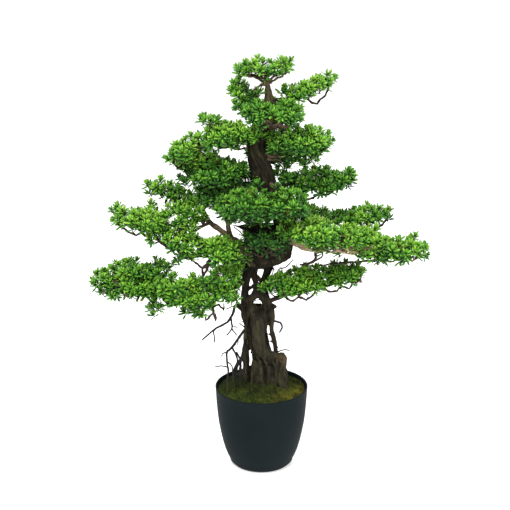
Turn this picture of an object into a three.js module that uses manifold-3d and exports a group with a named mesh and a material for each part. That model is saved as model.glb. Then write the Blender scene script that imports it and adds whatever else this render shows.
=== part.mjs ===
// Buddhist pine bonsai in a round planter: an artificial potted tree, 950 mm tall.
// Millimetres, +Z up. The origin is the centre of the planter's foot, +X is to the right of the
// front view, and +Y points away from the viewer.
//
// The planter holds a cast fill, a bed of moss lies on the fill, and the trunk stands in a
// hole through both. Wired branches butt against the trunk, thin aerial roots hang from it, and
// each branch carries one or more leafy sprays. A spray is a group of rosettes, each a small core
// with narrow leaves raised from its faces on every side, and a stem ties it to the next one.

import * as THREE from "three";
import Module from "manifold-3d";

const wasm = await Module();
wasm.setup();

// Planter
const POT_HEIGHT = 190;
const POT_WALL = 3.2;
const POT_FLOOR = 6;
const POT_SIDES = 24;
// Outer half-profile from the foot to the rim: radius, height.
const POT_PROFILE = [
  [64, 0],
  [70.5, 4],
  [79, 24],
  [89, 56],
  [98, 102],
  [103.6, 162],
  [105, POT_HEIGHT],
];

// Fill and moss
const FILL_TOP = 162;
const MOSS_EDGE_DROP = 12; // from the rim down to the moss at the wall
const MOSS_DOME = 14; // how much higher the moss stands at the trunk
const MOSS_TILT = 5; // how much higher it stands at the front wall than half-way to the back one
const MOSS_LUMP = 3; // height of its cushions
const MOSS_WAVES = [9, 8, 6]; // how long they are across, in depth and slantwise
const MOSS_RINGS = 5;
const GAP = 0.3; // between two pieces that touch

// Rosettes of leaves, each round a small core
const LEAF_LENGTH = 19.5;
const LEAF_LEAN = 0.4; // how far a leaf may lean from the face it stands on
const LEAF_CLEARANCE = 4; // from one leaf to another
const WOOD_CLEARANCE = 3; // from a leaf to a limb
const OWN_CORE_CLEARANCE = 12; // from a leaf to the middle of a rosette of its own spray
const OTHER_CORE_CLEARANCE = 15; // and of another spray
const STEM_SHARE = 0.8; // a face that looks this nearly at a carried rosette stays bare
const CORE_RADIUS = 10; // also sets how wide a leaf is at its foot
const CORE_HALF_HEIGHT = 6;
const CORE_TILT = 0.35; // in radians, so that no face of a core lies level
const LEAF_UPTURN = 0.35; // how much more leaves lean up than to a side
const LEAF_FOOT = 0.8; // share of the core at which a leaf is taken to start
const LEAF_TESTS = [0.4, 0.7, 1]; // shares of a leaf that are kept clear, its tip last
const TIP_GROWTH = 3; // how much farther a tip moves than a core when a spray is grown to cut with
const ROSETTE_PITCH = 51;
const ROSETTE_LIFT = 3; // from a limb's upper side up to the middle of the rosettes on it
const ROSETTE_RISE = 24; // how much higher the highest rosette beside a limb is
const ROSETTE_SHIFT = 8; // how much nearer to the limb the nearest of them is
const OWN_ROOM = 0.7; // least distance to a rosette of the same spray, in pitches
const OTHER_ROOM = 0.8; // and of another spray
const STEM_SINK = 4; // how far a stem between two rosettes runs past the second one's middle

// Wood
const LIMB_SIDES = 4;
const TRUNK_STEP = 42; // distance between two rings of a tube
const BRANCH_STEP = 52;
const ROOT_STEP = 32;
const TRUNK_FOOT = 140;

// Stems of the trunk: name, number of sides, then [x, y, z, radius] from one end to the other.
const TRUNK_STEMS = [
  ["lower body", 9, [[8, 5, TRUNK_FOOT, 35], [8, 5, 200, 33], [5, 6, 240, 28], [0, 7, 275, 22],
    [-8, 8, 306, 20], [-9, 6, 340, 25], [-10, 4, 362, 26], [-10, 2, 380, 19]]],
  ["swooping stem", 7, [[-30, -6, 392, 6], [-19, -14, 380, 12], [-10, -19, 358, 17], [-9, -22, 322, 18],
    [-5, -24, 292, 18], [8, -25, 274, 16], [26, -25, 270, 13], [44, -24, 272, 12]]],
  ["burl at the right", 6, [[46, -20, TRUNK_FOOT, 16], [49, -24, 200, 14], [49, -25, 246, 14], [46, -25, 274, 9]]],
  ["left column", 5, [[-37, -2, TRUNK_FOOT, 9], [-37, -2, 200, 8], [-37, -1, 250, 6.5], [-33, 2, 300, 9],
    [-28, 4, 345, 12]]],
  ["right runner", 5, [[32, -14, 270, 6], [30, -8, 290, 5.5], [26, -3, 317, 5.5], [25, 0, 350, 7],
    [21, -4, 379, 8], [12, -8, 399, 7], [3, -9, 414, 6.5], [-7, -6, 430, 6], [-13, 2, 445, 6], [-16, 4, 460, 7],
    [-12, 4, 484, 10]]],
  ["left twist", 6, [[-33, -2, 364, 13], [-37, -2, 392, 9], [-38, -2, 416, 8], [-36, -2, 440, 9],
    [-30, 0, 463, 11], [-24, 0, 486, 13]]],
  ["right twist", 5, [[-33, -8, 385, 6], [-24, -9, 404, 5.5], [-13, -9, 424, 5.8], [-1, -8, 444, 6],
    [8, -6, 465, 6.4], [17, -3, 490, 9]]],
  ["back twist", 5, [[16, 0, 386, 7], [12, 4, 412, 5], [11, 8, 430, 4.5], [14, 8, 450, 5], [20, 6, 482, 9]]],
  ["upper trunk", 8, [[-24, 2, 482, 12], [0, 0, 491, 17], [26, 0, 498, 21], [46, 2, 518, 23], [50, 2, 548, 21],
    [41, 0, 590, 18], [27, -2, 634, 16], [16, -2, 672, 16], [3, -2, 706, 19], [-9, -2, 740, 23],
    [-8, 0, 776, 20], [4, 2, 812, 15], [14, 2, 845, 11], [13, 0, 870, 7.5], [11, 0, 889, 4]]],
  ["shoulder stub", 5, [[51, 2, 540, 14], [27, -6, 555, 13], [-2, -12, 567, 9], [-26, -20, 574, 6],
    [-44, -26, 578, 3.5]]],
  ["root flare, front left", 5, [[-12, -30, TRUNK_FOOT, 7], [-11, -27, 190, 7], [-8, -18, 232, 6]]],
  ["root flare, right", 5, [[56, 6, TRUNK_FOOT, 7], [46, 6, 190, 7], [30, 8, 238, 6]]],
  ["root flare, back", 5, [[14, 48, TRUNK_FOOT, 8], [10, 38, 190, 8], [4, 26, 240, 7]]],
  ["root flare, back left", 5, [[-34, 32, TRUNK_FOOT, 8], [-24, 26, 190, 8], [-10, 18, 242, 7]]],
];

// Aerial roots, thinner and darker than the trunk: each is a few limbs of [x, y, z, radius].
const AERIAL_ROOTS = {
  aerial_root_upper_left: [
    [[-34, -4, 380, 3.6], [-56, -14, 390, 3.2], [-66, -20, 368, 3], [-76, -26, 353, 2.6], [-97, -30, 343, 2.4],
      [-111, -33, 334, 2.1], [-133, -36, 314, 1.6]],
    [[-69, -22, 362, 2.4], [-66, -22, 346, 2], [-67, -22, 335, 1.8], [-79, -22, 320, 1.4]],
    [[-67, -22, 337, 1.7], [-56, -22, 320, 1.4]],
    [[-108, -33, 336, 1.8], [-105, -34, 321, 1.6], [-106, -34, 308, 1.4]],
  ],
  aerial_root_lower_left: [
    [[-24, -4, 346, 3.4], [-36, -12, 332, 3.2], [-54, -22, 310, 3], [-66, -30, 295, 2.8], [-77, -34, 285, 2.5],
      [-78, -36, 266, 2.3], [-75, -38, 243, 2.2], [-77, -42, 212, 2.2], [-76, -42, 160, 2.2]],
    [[-66, -30, 295, 2.3], [-56, -34, 274, 2.1], [-54, -36, 260, 2], [-63, -38, 244, 1.9], [-64, -30, 220, 1.9],
      [-64, -26, 160, 1.9]],
    [[-77, -34, 283, 1.7], [-86, -36, 284, 1.5], [-89, -38, 275, 1.3]],
    [[-76, -37, 250, 1.6], [-91, -38, 253, 1.4], [-105, -40, 251, 1.3]],
  ],
  aerial_root_inner_left: [
    [[-36, -6, 304, 3.6], [-43, -20, 276, 3], [-47, -22, 254, 2.8], [-49, -20, 220, 3], [-49, -18, 160, 3]],
    [[-46, -21, 262, 2], [-55, -26, 242, 1.8], [-56, -24, 222, 1.7], [-56, -22, 160, 1.7]],
  ],
  aerial_root_right: [
    [[23, 0, 346, 2.8], [41, -8, 346, 2.5], [47, -10, 336, 2.2], [40, -10, 322, 1.7]],
  ],
  aerial_root_back: [
    [[-6, 26, 352, 3.4], [-10, 44, 330, 3], [-4, 54, 290, 2.6], [4, 56, 240, 2.5], [0, 52, 200, 2.4],
      [2, 52, 160, 2.4]],
    [[-5, 53, 296, 2], [-20, 60, 268, 1.7], [-24, 58, 244, 1.3]],
  ],
};

// Branches: each is a few limbs of [x, y, z, radius], the first one from inside the trunk out.
const BRANCHES = {
  crown: [
    [[11, 0, 882, 3.6], [8, 0, 896, 3.2], [-18, 2, 904, 2.6], [-42, 6, 904, 2]],
    [[11, 0, 888, 3], [28, 2, 904, 2.6], [50, 4, 907, 2]],
    [[11, 0, 888, 2.6], [11, -16, 902, 2.2], [11, -32, 908, 2]],
  ],
  top_right: [
    [[13, 0, 850, 4], [52, -6, 856, 3.4], [96, -10, 868, 3], [134, -8, 888, 2]],
  ],
  top_left: [[[6, 2, 816, 4], [-20, 18, 822, 3], [-40, 26, 838, 2.6], [-54, 30, 862, 2]]],
  upper_front: [
    [[8, 0, 806, 5], [14, -30, 812, 4], [0, -56, 822, 3], [-22, -62, 824, 2.2]],
    [[14, -36, 814, 3], [40, -60, 824, 2.6], [68, -60, 824, 2]],
  ],
  upper_back: [[[0, 4, 788, 5], [12, 40, 786, 3.6], [26, 72, 794, 2.8], [42, 104, 796, 2]]],
  upper_left: [
    [[-14, -2, 758, 7], [-56, -14, 776, 5], [-104, -22, 770, 4], [-148, -22, 744, 3.2], [-184, -10, 732, 2.2]],
  ],
  upper_right: [[[-4, -4, 738, 6], [36, -20, 756, 4.6], [84, -26, 760, 3.4], [128, -18, 756, 2.2]]],
  left_shelf: [[[0, -2, 694, 6], [-38, -6, 684, 4.4], [-90, -6, 682, 3.2], [-138, -2, 678, 2.2]]],
  back_shelf: [[[6, 2, 690, 6], [10, 44, 698, 4], [18, 90, 704, 3], [24, 136, 702, 2]]],
  right_shelf: [[[22, 2, 640, 6], [66, 38, 642, 4.8], [112, 56, 644, 3.8], [152, 60, 648, 3], [190, 58, 654, 2]]],
  front: [
    [[34, -2, 604, 7], [28, -40, 616, 5], [6, -74, 632, 4], [-36, -100, 638, 3], [-76, -104, 638, 2.2]],
    [[18, -60, 626, 3.6], [46, -92, 638, 3], [82, -98, 636, 2.2]],
  ],
  left: [
    [[46, 2, 536, 9], [2, -2, 530, 8], [-40, 0, 536, 7], [-76, 2, 550, 6.4], [-118, 0, 578, 5], [-166, -10, 576, 4],
      [-222, -24, 576, 3.2], [-266, -30, 586, 2.8], [-304, -30, 600, 2]],
    [[-78, 2, 550, 5], [-80, 26, 594, 4], [-88, 54, 630, 3], [-120, 62, 634, 2]],
    [[-128, -2, 577, 4], [-160, 30, 600, 3.4], [-194, 42, 620, 2.6], [-228, 42, 638, 2]],
    [[-100, 0, 568, 4], [-134, -36, 538, 3], [-172, -44, 530, 2.6], [-208, -42, 544, 2]],
  ],
  right: [
    [[50, 0, 562, 8], [88, -30, 554, 6.4], [132, -58, 552, 5.2], [180, -66, 548, 4.4], [234, -62, 538, 3.6],
      [290, -52, 524, 3], [344, -42, 524, 2]],
    [[96, -36, 554, 4], [74, -64, 570, 3], [106, -86, 576, 2.4], [146, -88, 572, 2]],
    [[160, -62, 550, 3.4], [184, -26, 534, 3], [230, -6, 530, 2.4], [262, -8, 532, 1.8]],
  ],
  back_right: [
    [[46, 4, 578, 7], [82, 40, 562, 5], [136, 70, 556, 4], [196, 82, 560, 3.2], [240, 84, 566, 2.6],
      [274, 80, 574, 2]],
    [[92, 48, 561, 4], [104, 90, 564, 3.2], [124, 120, 562, 2.6], [140, 146, 556, 2]],
  ],
  back_left: [[[38, 4, 590, 6], [2, 54, 572, 4.8], [-36, 100, 568, 3.6], [-68, 134, 572, 2.8], [-98, 160, 570, 2]]],
  left_low_shelf: [[[-10, -4, 476, 6], [-44, -32, 506, 4.6], [-76, -48, 518, 3.4], [-108, -52, 516, 2.2]]],
  low_front: [
    [[36, -4, 500, 6], [20, -42, 522, 4.4], [4, -62, 536, 3.4], [-26, -66, 540, 2]],
    [[14, -52, 529, 3], [30, -68, 540, 2.6], [42, -72, 544, 2.2]],
  ],
  low_left: [
    [[-34, 2, 446, 8], [-78, -30, 430, 6.4], [-128, -56, 418, 5], [-180, -46, 412, 4.4], [-232, -16, 418, 4],
      [-290, -4, 428, 3.2], [-340, 4, 430, 2.2]],
  ],
  low_right: [
    [[14, -5, 395, 6], [32, -4, 401, 5.6], [50, -4, 410, 5], [88, -12, 420, 4], [132, -2, 428, 3.4],
      [170, 8, 434, 2.8], [202, 10, 444, 2]],
  ],
  low_back: [[[9, 6, 424, 6], [-4, 60, 424, 4.6], [-26, 116, 428, 3.6], [-44, 168, 426, 2]]],
};

// Leafy sprays: the branch, how many rosettes stand beside each one on the limb, then each limb
// and the share of it that is in leaf.
const SPRAYS = {
  crown: ["crown", 1, [[2, 0.95, 1], [0, 0.36, 1], [1, 0.55, 1]]],
  top_right: ["top_right", 1, [[0, 0.42, 1]]],
  top_left: ["top_left", 1, [[0, 0.45, 1]]],
  upper_front: ["upper_front", 1, [[0, 0.5, 1], [1, 0.5, 1]]],
  upper_back: ["upper_back", 2, [[0, 0.55, 1]]],
  upper_left: ["upper_left", 2, [[0, 0.24, 0.56]]],
  upper_left_tip: ["upper_left", 2, [[0, 0.82, 1]]],
  upper_right: ["upper_right", 1, [[0, 0.3, 1]]],
  left_shelf: ["left_shelf", 2, [[0, 0.36, 1]]],
  back_shelf: ["back_shelf", 2, [[0, 0.5, 1]]],
  right_shelf: ["right_shelf", 1, [[0, 0.32, 1]]],
  front: ["front", 1, [[0, 0.42, 1], [1, 0.4, 1]]],
  left_finger: ["left", 1, [[2, 0.45, 1]]],
  left_inner: ["left", 1, [[1, 0.6, 1]]],
  left_tip: ["left", 1, [[0, 0.76, 1]]],
  left_drop: ["left", 1, [[3, 0.45, 1]]],
  right_inner: ["right", 1, [[1, 0.4, 1]]],
  right_outer: ["right", 1, [[2, 0.4, 1]]],
  right_tip: ["right", 1, [[0, 0.72, 1]]],
  back_right: ["back_right", 1, [[1, 0.4, 1]]],
  back_right_tip: ["back_right", 1, [[0, 0.66, 1]]],
  back_left: ["back_left", 2, [[0, 0.45, 1]]],
  left_low_shelf: ["left_low_shelf", 1, [[0, 0.5, 1]]],
  low_front: ["low_front", 1, [[0, 0.7, 1], [1, 0.7, 1]]],
  low_left: ["low_left", 2, [[0, 0.2, 0.54]]],
  low_left_tip: ["low_left", 2, [[0, 0.66, 1]]],
  low_right: ["low_right", 1, [[0, 0.2, 0.58]]],
  low_right_tip: ["low_right", 2, [[0, 0.8, 1]]],
  low_back: ["low_back", 2, [[0, 0.5, 1]]],
};

const UP = new THREE.Vector3(0, 0, 1);
const vector = ([x, y, z]) => new THREE.Vector3(x, y, z);
const curveThrough = (stations) => new THREE.CatmullRomCurve3(stations.map(vector));

// Two even sequences from 0 to 1, for places that look random and stay the same in each build.
const scatter = (i) => (0.5 + i * 0.754878) % 1;
const scatterB = (i) => (0.5 + i * 0.56984) % 1;

// A closed solid from a flat list of coordinates and a list of triangles.
function solidFrom(coordinates, triangles) {
  return new wasm.Manifold(
    new wasm.Mesh({
      numProp: 3,
      vertProperties: new Float32Array(coordinates),
      triVerts: new Uint32Array(triangles),
    }),
  );
}

// A three.js geometry with closed ends as a solid: vertices that coincide become one.
function solidOfGeometry(geometry) {
  const seen = new Map();
  const coordinates = [];
  const position = geometry.getAttribute("position");
  const numberOf = (i) => {
    const point = [position.getX(i), position.getY(i), position.getZ(i)];
    const key = point.map((c) => Math.round(c * 1e3)).join();
    if (!seen.has(key)) {
      seen.set(key, coordinates.length / 3);
      coordinates.push(...point);
    }
    return seen.get(key);
  };
  const corners = geometry.index ? Array.from(geometry.index.array) : [...Array(position.count).keys()];
  const triangles = [];
  for (let i = 0; i < corners.length; i += 3) {
    const [a, b, c] = [0, 1, 2].map((k) => numberOf(corners[i + k]));
    if (a !== b && b !== c && a !== c) triangles.push(a, b, c);
  }
  return solidFrom(coordinates, triangles);
}

const join = (solids) => solids.reduce((whole, s) => whole.add(s));

// The largest body of a solid, with the scraps that a cut leaves dropped.
function largest(solid) {
  return solid.decompose().reduce((a, b) => (a.volume() > b.volume() ? a : b));
}

// The radius of a limb at a curve parameter.
function radiusAt(stations, t) {
  const place = t * (stations.length - 1);
  const before = Math.min(Math.floor(place), stations.length - 2);
  return THREE.MathUtils.lerp(stations[before][3], stations[before + 1][3], place - before);
}

const CORNER_GROWTH = 1.2; // a tube's corners move this much farther than its sides

// A tube through stations of [x, y, z, radius]. grow makes it thicker and longer, to cut a seat with.
function tube(stations, sides, stepLength, grow = 0) {
  const curve = curveThrough(stations);
  const steps = Math.max(1, Math.round(curve.getLength() / stepLength));
  const coordinates = [];
  const triangles = [];
  const normal = new THREE.Vector3(1, 0, 0);
  for (let i = 0; i <= steps; i++) {
    const t = curve.getUtoTmapping(i / steps);
    const centre = curve.getPoint(t);
    const tangent = curve.getTangent(t);
    const end = i === 0 ? -1 : i === steps ? 1 : 0;
    centre.addScaledVector(tangent, end * grow);
    normal.addScaledVector(tangent, -normal.dot(tangent)).normalize();
    const binormal = tangent.clone().cross(normal);
    const radius = radiusAt(stations, t);
    for (let k = 0; k < sides; k++) {
      const angle = (2 * Math.PI * k) / sides;
      const corner = centre.clone();
      corner.addScaledVector(normal, Math.cos(angle) * (radius + CORNER_GROWTH * grow));
      corner.addScaledVector(binormal, Math.sin(angle) * (radius + CORNER_GROWTH * grow));
      coordinates.push(...corner.toArray());
    }
  }
  for (let i = 0; i < steps; i++)
    for (let k = 0; k < sides; k++) {
      const a = i * sides + k;
      const b = i * sides + ((k + 1) % sides);
      triangles.push(a, b, b + sides, a, b + sides, a + sides);
    }
  const last = steps * sides;
  for (let k = 1; k < sides - 1; k++) triangles.push(0, k + 1, k, last, last + k, last + k + 1);
  return solidFrom(coordinates, triangles);
}

// A solid turned round the Z axis from a closed half-profile of [radius, height].
function turned(profile) {
  const lathe = new THREE.LatheGeometry(profile.map(([r, z]) => new THREE.Vector2(r, z)), POT_SIDES);
  lathe.rotateX(Math.PI / 2);
  return solidOfGeometry(lathe);
}

const INNER_HEIGHTS = [POT_FLOOR, 24, 56, 102, FILL_TOP];
const FILL_INSET = 1.5 * GAP; // from the wall's corners, so that its flats are a gap away

// The planter's inner radius at a height, read off the outer profile.
function innerRadius(z) {
  const k = POT_PROFILE.findIndex(([, height]) => height >= z);
  const [[r0, z0], [r1, z1]] = [POT_PROFILE[k - 1], POT_PROFILE[k]];
  return THREE.MathUtils.mapLinear(z, z0, z1, r0, r1) - POT_WALL;
}

function planter() {
  const inside = [...INNER_HEIGHTS, POT_HEIGHT].reverse().map((z) => [innerRadius(z), z]);
  return turned([[0, 0], ...POT_PROFILE, ...inside, [0, POT_FLOOR]]);
}

// The fill, a gap smaller than the planter's inside.
function potFill() {
  const side = INNER_HEIGHTS.map((z) => [innerRadius(z) - FILL_INSET, z + GAP]);
  return turned([[0, POT_FLOOR + GAP], ...side, [0, FILL_TOP + GAP]]);
}

// How far the moss stands above its mean edge, by place: a dome that leans back, waved into cushions.
function mossRise(x, y, radius) {
  const share = Math.hypot(x, y) / radius;
  const [wide, deep, slant] = MOSS_WAVES;
  const wave = Math.sin(x / wide) * Math.cos(y / deep + 1) + 0.6 * Math.sin((x + y) / slant);
  return MOSS_DOME * (1 - share ** 2) - (MOSS_TILT * y) / radius + MOSS_LUMP * wave * (1 - share ** 4);
}

function mossBed() {
  const low = FILL_TOP + 2 * GAP;
  const edge = POT_HEIGHT - MOSS_EDGE_DROP;
  const radius = innerRadius(edge) - FILL_INSET;
  const top = edge + 1;
  const profile = [[0, low], [innerRadius(low) - FILL_INSET, low], [radius, edge]];
  for (let ring = MOSS_RINGS - 1; ring >= 0; ring--) profile.push([(radius * ring) / MOSS_RINGS, top]);
  const lathe = new THREE.LatheGeometry(profile.map(([r, z]) => new THREE.Vector2(r, z)), POT_SIDES);
  lathe.rotateX(Math.PI / 2);
  const position = lathe.getAttribute("position");
  for (let i = 0; i < position.count; i++) {
    const z = position.getZ(i);
    if (z > low + GAP) position.setZ(i, z + mossRise(position.getX(i), position.getY(i), radius));
  }
  return solidOfGeometry(lathe);
}

// The trunk, and a branch or an aerial root, as they are or grown to cut a seat with.
const trunkWith = (grow) =>
  join(TRUNK_STEMS.map(([, sides, stations]) => tube(stations, sides, TRUNK_STEP, grow)));
const limbsWith = (limbs, step, grow) => join(limbs.map((stations) => tube(stations, LIMB_SIDES, step, grow)));

// The rows of rosettes on one limb: for each, a point above the limb, the way across it, and the
// side of the limb that it lies on, 0 on the limb itself.
function rowsOn(stations, beside, [from, to], odd) {
  const curve = curveThrough(stations);
  const rows = Math.max(1, Math.round((curve.getLength() * (to - from)) / ROSETTE_PITCH));
  return Array.from({ length: rows + 1 }, (_, row) => {
    const share = THREE.MathUtils.lerp(from, to, row / rows);
    const lift = ROSETTE_LIFT + radiusAt(stations, curve.getUtoTmapping(share));
    const foot = curve.getPointAt(share).addScaledVector(UP, lift);
    const across = curve.getTangentAt(share).cross(UP).setZ(0).normalize();
    const sides = (row + odd) % 2 ? [0, 1, -1] : [0, -1, 1];
    return sides.slice(0, 1 + beside).map((side) => ({ foot, across, side }));
  }).flat();
}

// The rosettes of every spray, where none already placed stands too near.
function placeRosettes() {
  const placed = {};
  const isCrowded = (centre, own) =>
    Object.values(placed).some((centres) => {
      const room = ROSETTE_PITCH * (centres === own ? OWN_ROOM : OTHER_ROOM);
      return centres.some((other) => other.distanceTo(centre) < room);
    });
  Object.entries(SPRAYS).forEach(([name, [branch, beside, parts]], number) => {
    const own = [];
    placed[name] = own;
    for (const [limb, ...span] of parts)
      for (const { foot, across, side } of rowsOn(BRANCHES[branch][limb], beside, span, number)) {
        const i = own.length + 7 * number;
        const centre = foot.clone();
        centre.addScaledVector(across, side * (ROSETTE_PITCH - ROSETTE_SHIFT * scatter(i)));
        centre.addScaledVector(UP, Math.abs(side) * ROSETTE_RISE * (scatterB(i) - 0.15));
        if (!isCrowded(centre, own)) own.push(centre);
      }
  });
  return placed;
}

// Points along a limb, to keep leaves off it.
function beadsOn(stations) {
  const curve = curveThrough(stations);
  const points = curve.getSpacedPoints(Math.ceil(curve.getLength() / BEAD_STEP));
  return points.map((point) => ({ point, radius: stations[0][3] }));
}

const BEAD_STEP = 6;
const CORE_SIZE = new THREE.Vector3(CORE_RADIUS, CORE_RADIUS, CORE_HALF_HEIGHT);
const woodBeads = [...Object.values(BRANCHES).flat(), ...Object.values(AERIAL_ROOTS).flat()]
  .concat(TRUNK_STEMS.map(([, , stations]) => stations))
  .flatMap(beadsOn);
const rosettes = placeRosettes();
const leafPoints = []; // of every leaf made so far

// The rosette that another one's stem runs to: the nearest of those before it in the spray.
function supportOf(centre, own) {
  const before = own.slice(0, own.indexOf(centre));
  return before.reduce((a, b) => (a && a.distanceTo(centre) < b.distanceTo(centre) ? a : b), null);
}

// The faces of a rosette's core, each with the points of the leaf that would stand on it.
function coreFaces(centre, spin) {
  const unit = new THREE.IcosahedronGeometry(1, 0).rotateX(CORE_TILT).rotateZ(spin).getAttribute("position");
  const faces = [];
  for (let i = 0; i < unit.count; i += 3) {
    const corners = [0, 1, 2].map((k) => new THREE.Vector3().fromBufferAttribute(unit, i + k));
    const out = corners[0].clone().add(corners[1]).add(corners[2]).normalize();
    const lean = new THREE.Vector3(scatter(i + 3 * spin) - 0.5, scatterB(i + 5 * spin) - 0.5, LEAF_UPTURN);
    const direction = out.clone().addScaledVector(lean, LEAF_LEAN).normalize();
    const foot = centre.clone().addScaledVector(out.clone().multiply(CORE_SIZE), LEAF_FOOT);
    const along = LEAF_TESTS.map((s) => foot.clone().addScaledVector(direction, s * LEAF_LENGTH));
    faces.push({ corners, centre, out, direction, along });
  }
  return faces;
}

// The faces of a rosette with the tip of each leaf, or with none where something is in the way.
// The face that looks at the rosette's support carries a stem into it.
function rosetteFaces(centre, own, spin) {
  const faces = coreFaces(centre, spin);
  const others = Object.values(rosettes).flat().filter((other) => other !== centre);
  const wood = woodBeads.filter((bead) => bead.point.distanceTo(centre) < 2 * LEAF_LENGTH + bead.radius);
  const support = supportOf(centre, own);
  const towards = support && support.clone().sub(centre).normalize();
  const carried = own.filter((other) => supportOf(other, own) === centre);
  const carrier = towards && faces.reduce((a, b) => (a.out.dot(towards) > b.out.dot(towards) ? a : b));
  const isBlocked = (p) =>
    others.some((q) => q.distanceTo(p) < (own.includes(q) ? OWN_CORE_CLEARANCE : OTHER_CORE_CLEARANCE)) ||
    wood.some((bead) => bead.point.distanceTo(p) < bead.radius + WOOD_CLEARANCE) ||
    leafPoints.some((q) => q.distanceTo(p) < LEAF_CLEARANCE);
  for (const face of faces) {
    const blocked =
      carried.some((other) => other.clone().sub(centre).normalize().dot(face.out) > STEM_SHARE) ||
      face.along.some(isBlocked);
    if (face === carrier) {
      face.direction = towards;
      face.tip = support.clone().addScaledVector(towards, STEM_SINK);
    } else if (!blocked) {
      leafPoints.push(...face.along);
      face.tip = face.along.at(-1);
    }
  }
  return faces;
}

// A rosette as one solid, with a keeled blade raised from each face of its core that has a leaf.
function rosette(faces, grow) {
  const coordinates = [];
  for (const { corners, centre, direction, tip } of faces) {
    const [a, b, c] = corners.map((u) => u.clone().multiply(CORE_SIZE.clone().addScalar(grow)).add(centre));
    const peak = tip && tip.clone().addScaledVector(direction, TIP_GROWTH * grow);
    const shown = peak ? [[a, b, peak], [b, c, peak], [c, a, peak]] : [[a, b, c]];
    shown.flat().forEach((corner) => coordinates.push(...corner.toArray()));
  }
  const geometry = new THREE.BufferGeometry();
  geometry.setAttribute("position", new THREE.Float32BufferAttribute(coordinates, 3));
  return solidOfGeometry(geometry);
}

// Materials
const material = (color, roughness) => new THREE.MeshStandardMaterial({ color, roughness, metalness: 0 });
const POT_PLASTIC = material(0x24292b, 0.55);
const FILL_CEMENT = material(0x3a2c20, 0.95);
const MOSS = material(0x4a5417, 0.95);
const TRUNK_BARK = material(0x3d3528, 0.85);
const BRANCH_BARK = material(0x5c4232, 0.8);
const ROOT_BARK = material(0x2b2724, 0.75);
const LEAF_GREEN = material(0x3c7a1c, 0.45);

const bonsai = new THREE.Group();

function place(name, solid, finish) {
  const made = solid.getMesh();
  const geometry = new THREE.BufferGeometry();
  geometry.setAttribute("position", new THREE.BufferAttribute(made.vertProperties, 3));
  geometry.setIndex(new THREE.BufferAttribute(made.triVerts, 1));
  geometry.computeVertexNormals();
  const mesh = new THREE.Mesh(geometry, finish);
  mesh.name = name;
  bonsai.add(mesh);
}

// Each piece of wood is cut back a gap from the wood before it, the trunk first.
let woodSeat = trunkWith(GAP);
const wood = [];
const cutBranches = Object.entries(BRANCHES).map(([name, limbs]) => [`branch_${name}`, limbs]);
for (const [pieces, step, bark] of [
  [Object.entries(AERIAL_ROOTS), ROOT_STEP, ROOT_BARK],
  [cutBranches, BRANCH_STEP, BRANCH_BARK],
])
  for (const [name, limbs] of pieces) {
    wood.push([name, largest(limbsWith(limbs, step, 0).subtract(woodSeat)), bark]);
    woodSeat = woodSeat.add(limbsWith(limbs, step, GAP));
  }

place("pot", planter(), POT_PLASTIC);
place("pot_fill", largest(potFill().subtract(woodSeat)), FILL_CEMENT);
place("moss_bed", largest(mossBed().subtract(woodSeat)), MOSS);
place("trunk", trunkWith(0), TRUNK_BARK);
wood.forEach((piece) => place(...piece));

// Each spray is grooved by the wood in it and cut back a gap from the sprays before it.
let sprayReach = null;
Object.entries(rosettes).forEach(([name, centres], number) => {
  const faces = centres.map((centre, c) => rosetteFaces(centre, centres, 2 * Math.PI * scatter(c + number)));
  const sprayWith = (grow) => join(faces.map((rosetteFace) => rosette(rosetteFace, grow)));
  const free = sprayReach ? sprayWith(0).subtract(sprayReach) : sprayWith(0);
  place(`spray_${name}`, largest(free.subtract(woodSeat)), LEAF_GREEN);
  sprayReach = sprayReach ? sprayReach.add(sprayWith(GAP)) : sprayWith(GAP);
});

export default bonsai;
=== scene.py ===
# %% [markdown]
# # A Buddhist pine bonsai in Blender
# An artificial bonsai has a moulded trunk, thin hanging roots, wired branches pushed into the trunk
# and many small plastic leaves in tufts. It stands in moss, in a dark planter. The solids of these
# pieces come from a packed model. This lesson gives them bark, twigs, leaves, moss and light.
#
# First the packed model is loaded. Its pieces sit where they belong, in metres, with +Z up and the
# viewer on the side of -Y. All new pieces are made in the same place, so nothing has to be fitted.

import math
import random

import bmesh
import bpy
from mathutils import Matrix, Vector, noise
from mathutils.kdtree import KDTree


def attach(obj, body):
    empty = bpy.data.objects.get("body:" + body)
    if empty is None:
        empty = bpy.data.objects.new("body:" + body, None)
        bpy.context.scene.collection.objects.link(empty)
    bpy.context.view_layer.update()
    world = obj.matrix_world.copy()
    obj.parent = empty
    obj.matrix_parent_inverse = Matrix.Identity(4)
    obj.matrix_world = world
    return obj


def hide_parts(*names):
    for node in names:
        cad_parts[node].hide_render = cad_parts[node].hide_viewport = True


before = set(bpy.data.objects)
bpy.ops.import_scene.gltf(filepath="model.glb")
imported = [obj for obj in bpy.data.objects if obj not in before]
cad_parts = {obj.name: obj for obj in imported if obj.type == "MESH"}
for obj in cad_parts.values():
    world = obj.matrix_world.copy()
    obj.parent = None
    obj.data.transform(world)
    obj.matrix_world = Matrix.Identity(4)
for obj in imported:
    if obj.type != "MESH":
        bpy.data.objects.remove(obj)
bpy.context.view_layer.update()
MM = 0.001
UP = Vector((0, 0, 1))

# %% [markdown]
# ## Shader sums
# A material is a graph of nodes. Long graphs are easier to read as sums, so a Value wraps the
# output of a node, and each Python operator on it adds a Math node. A Finish is one material. Its
# node method adds any other kind of node: the settings go in first, then the numbers or links.

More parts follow.
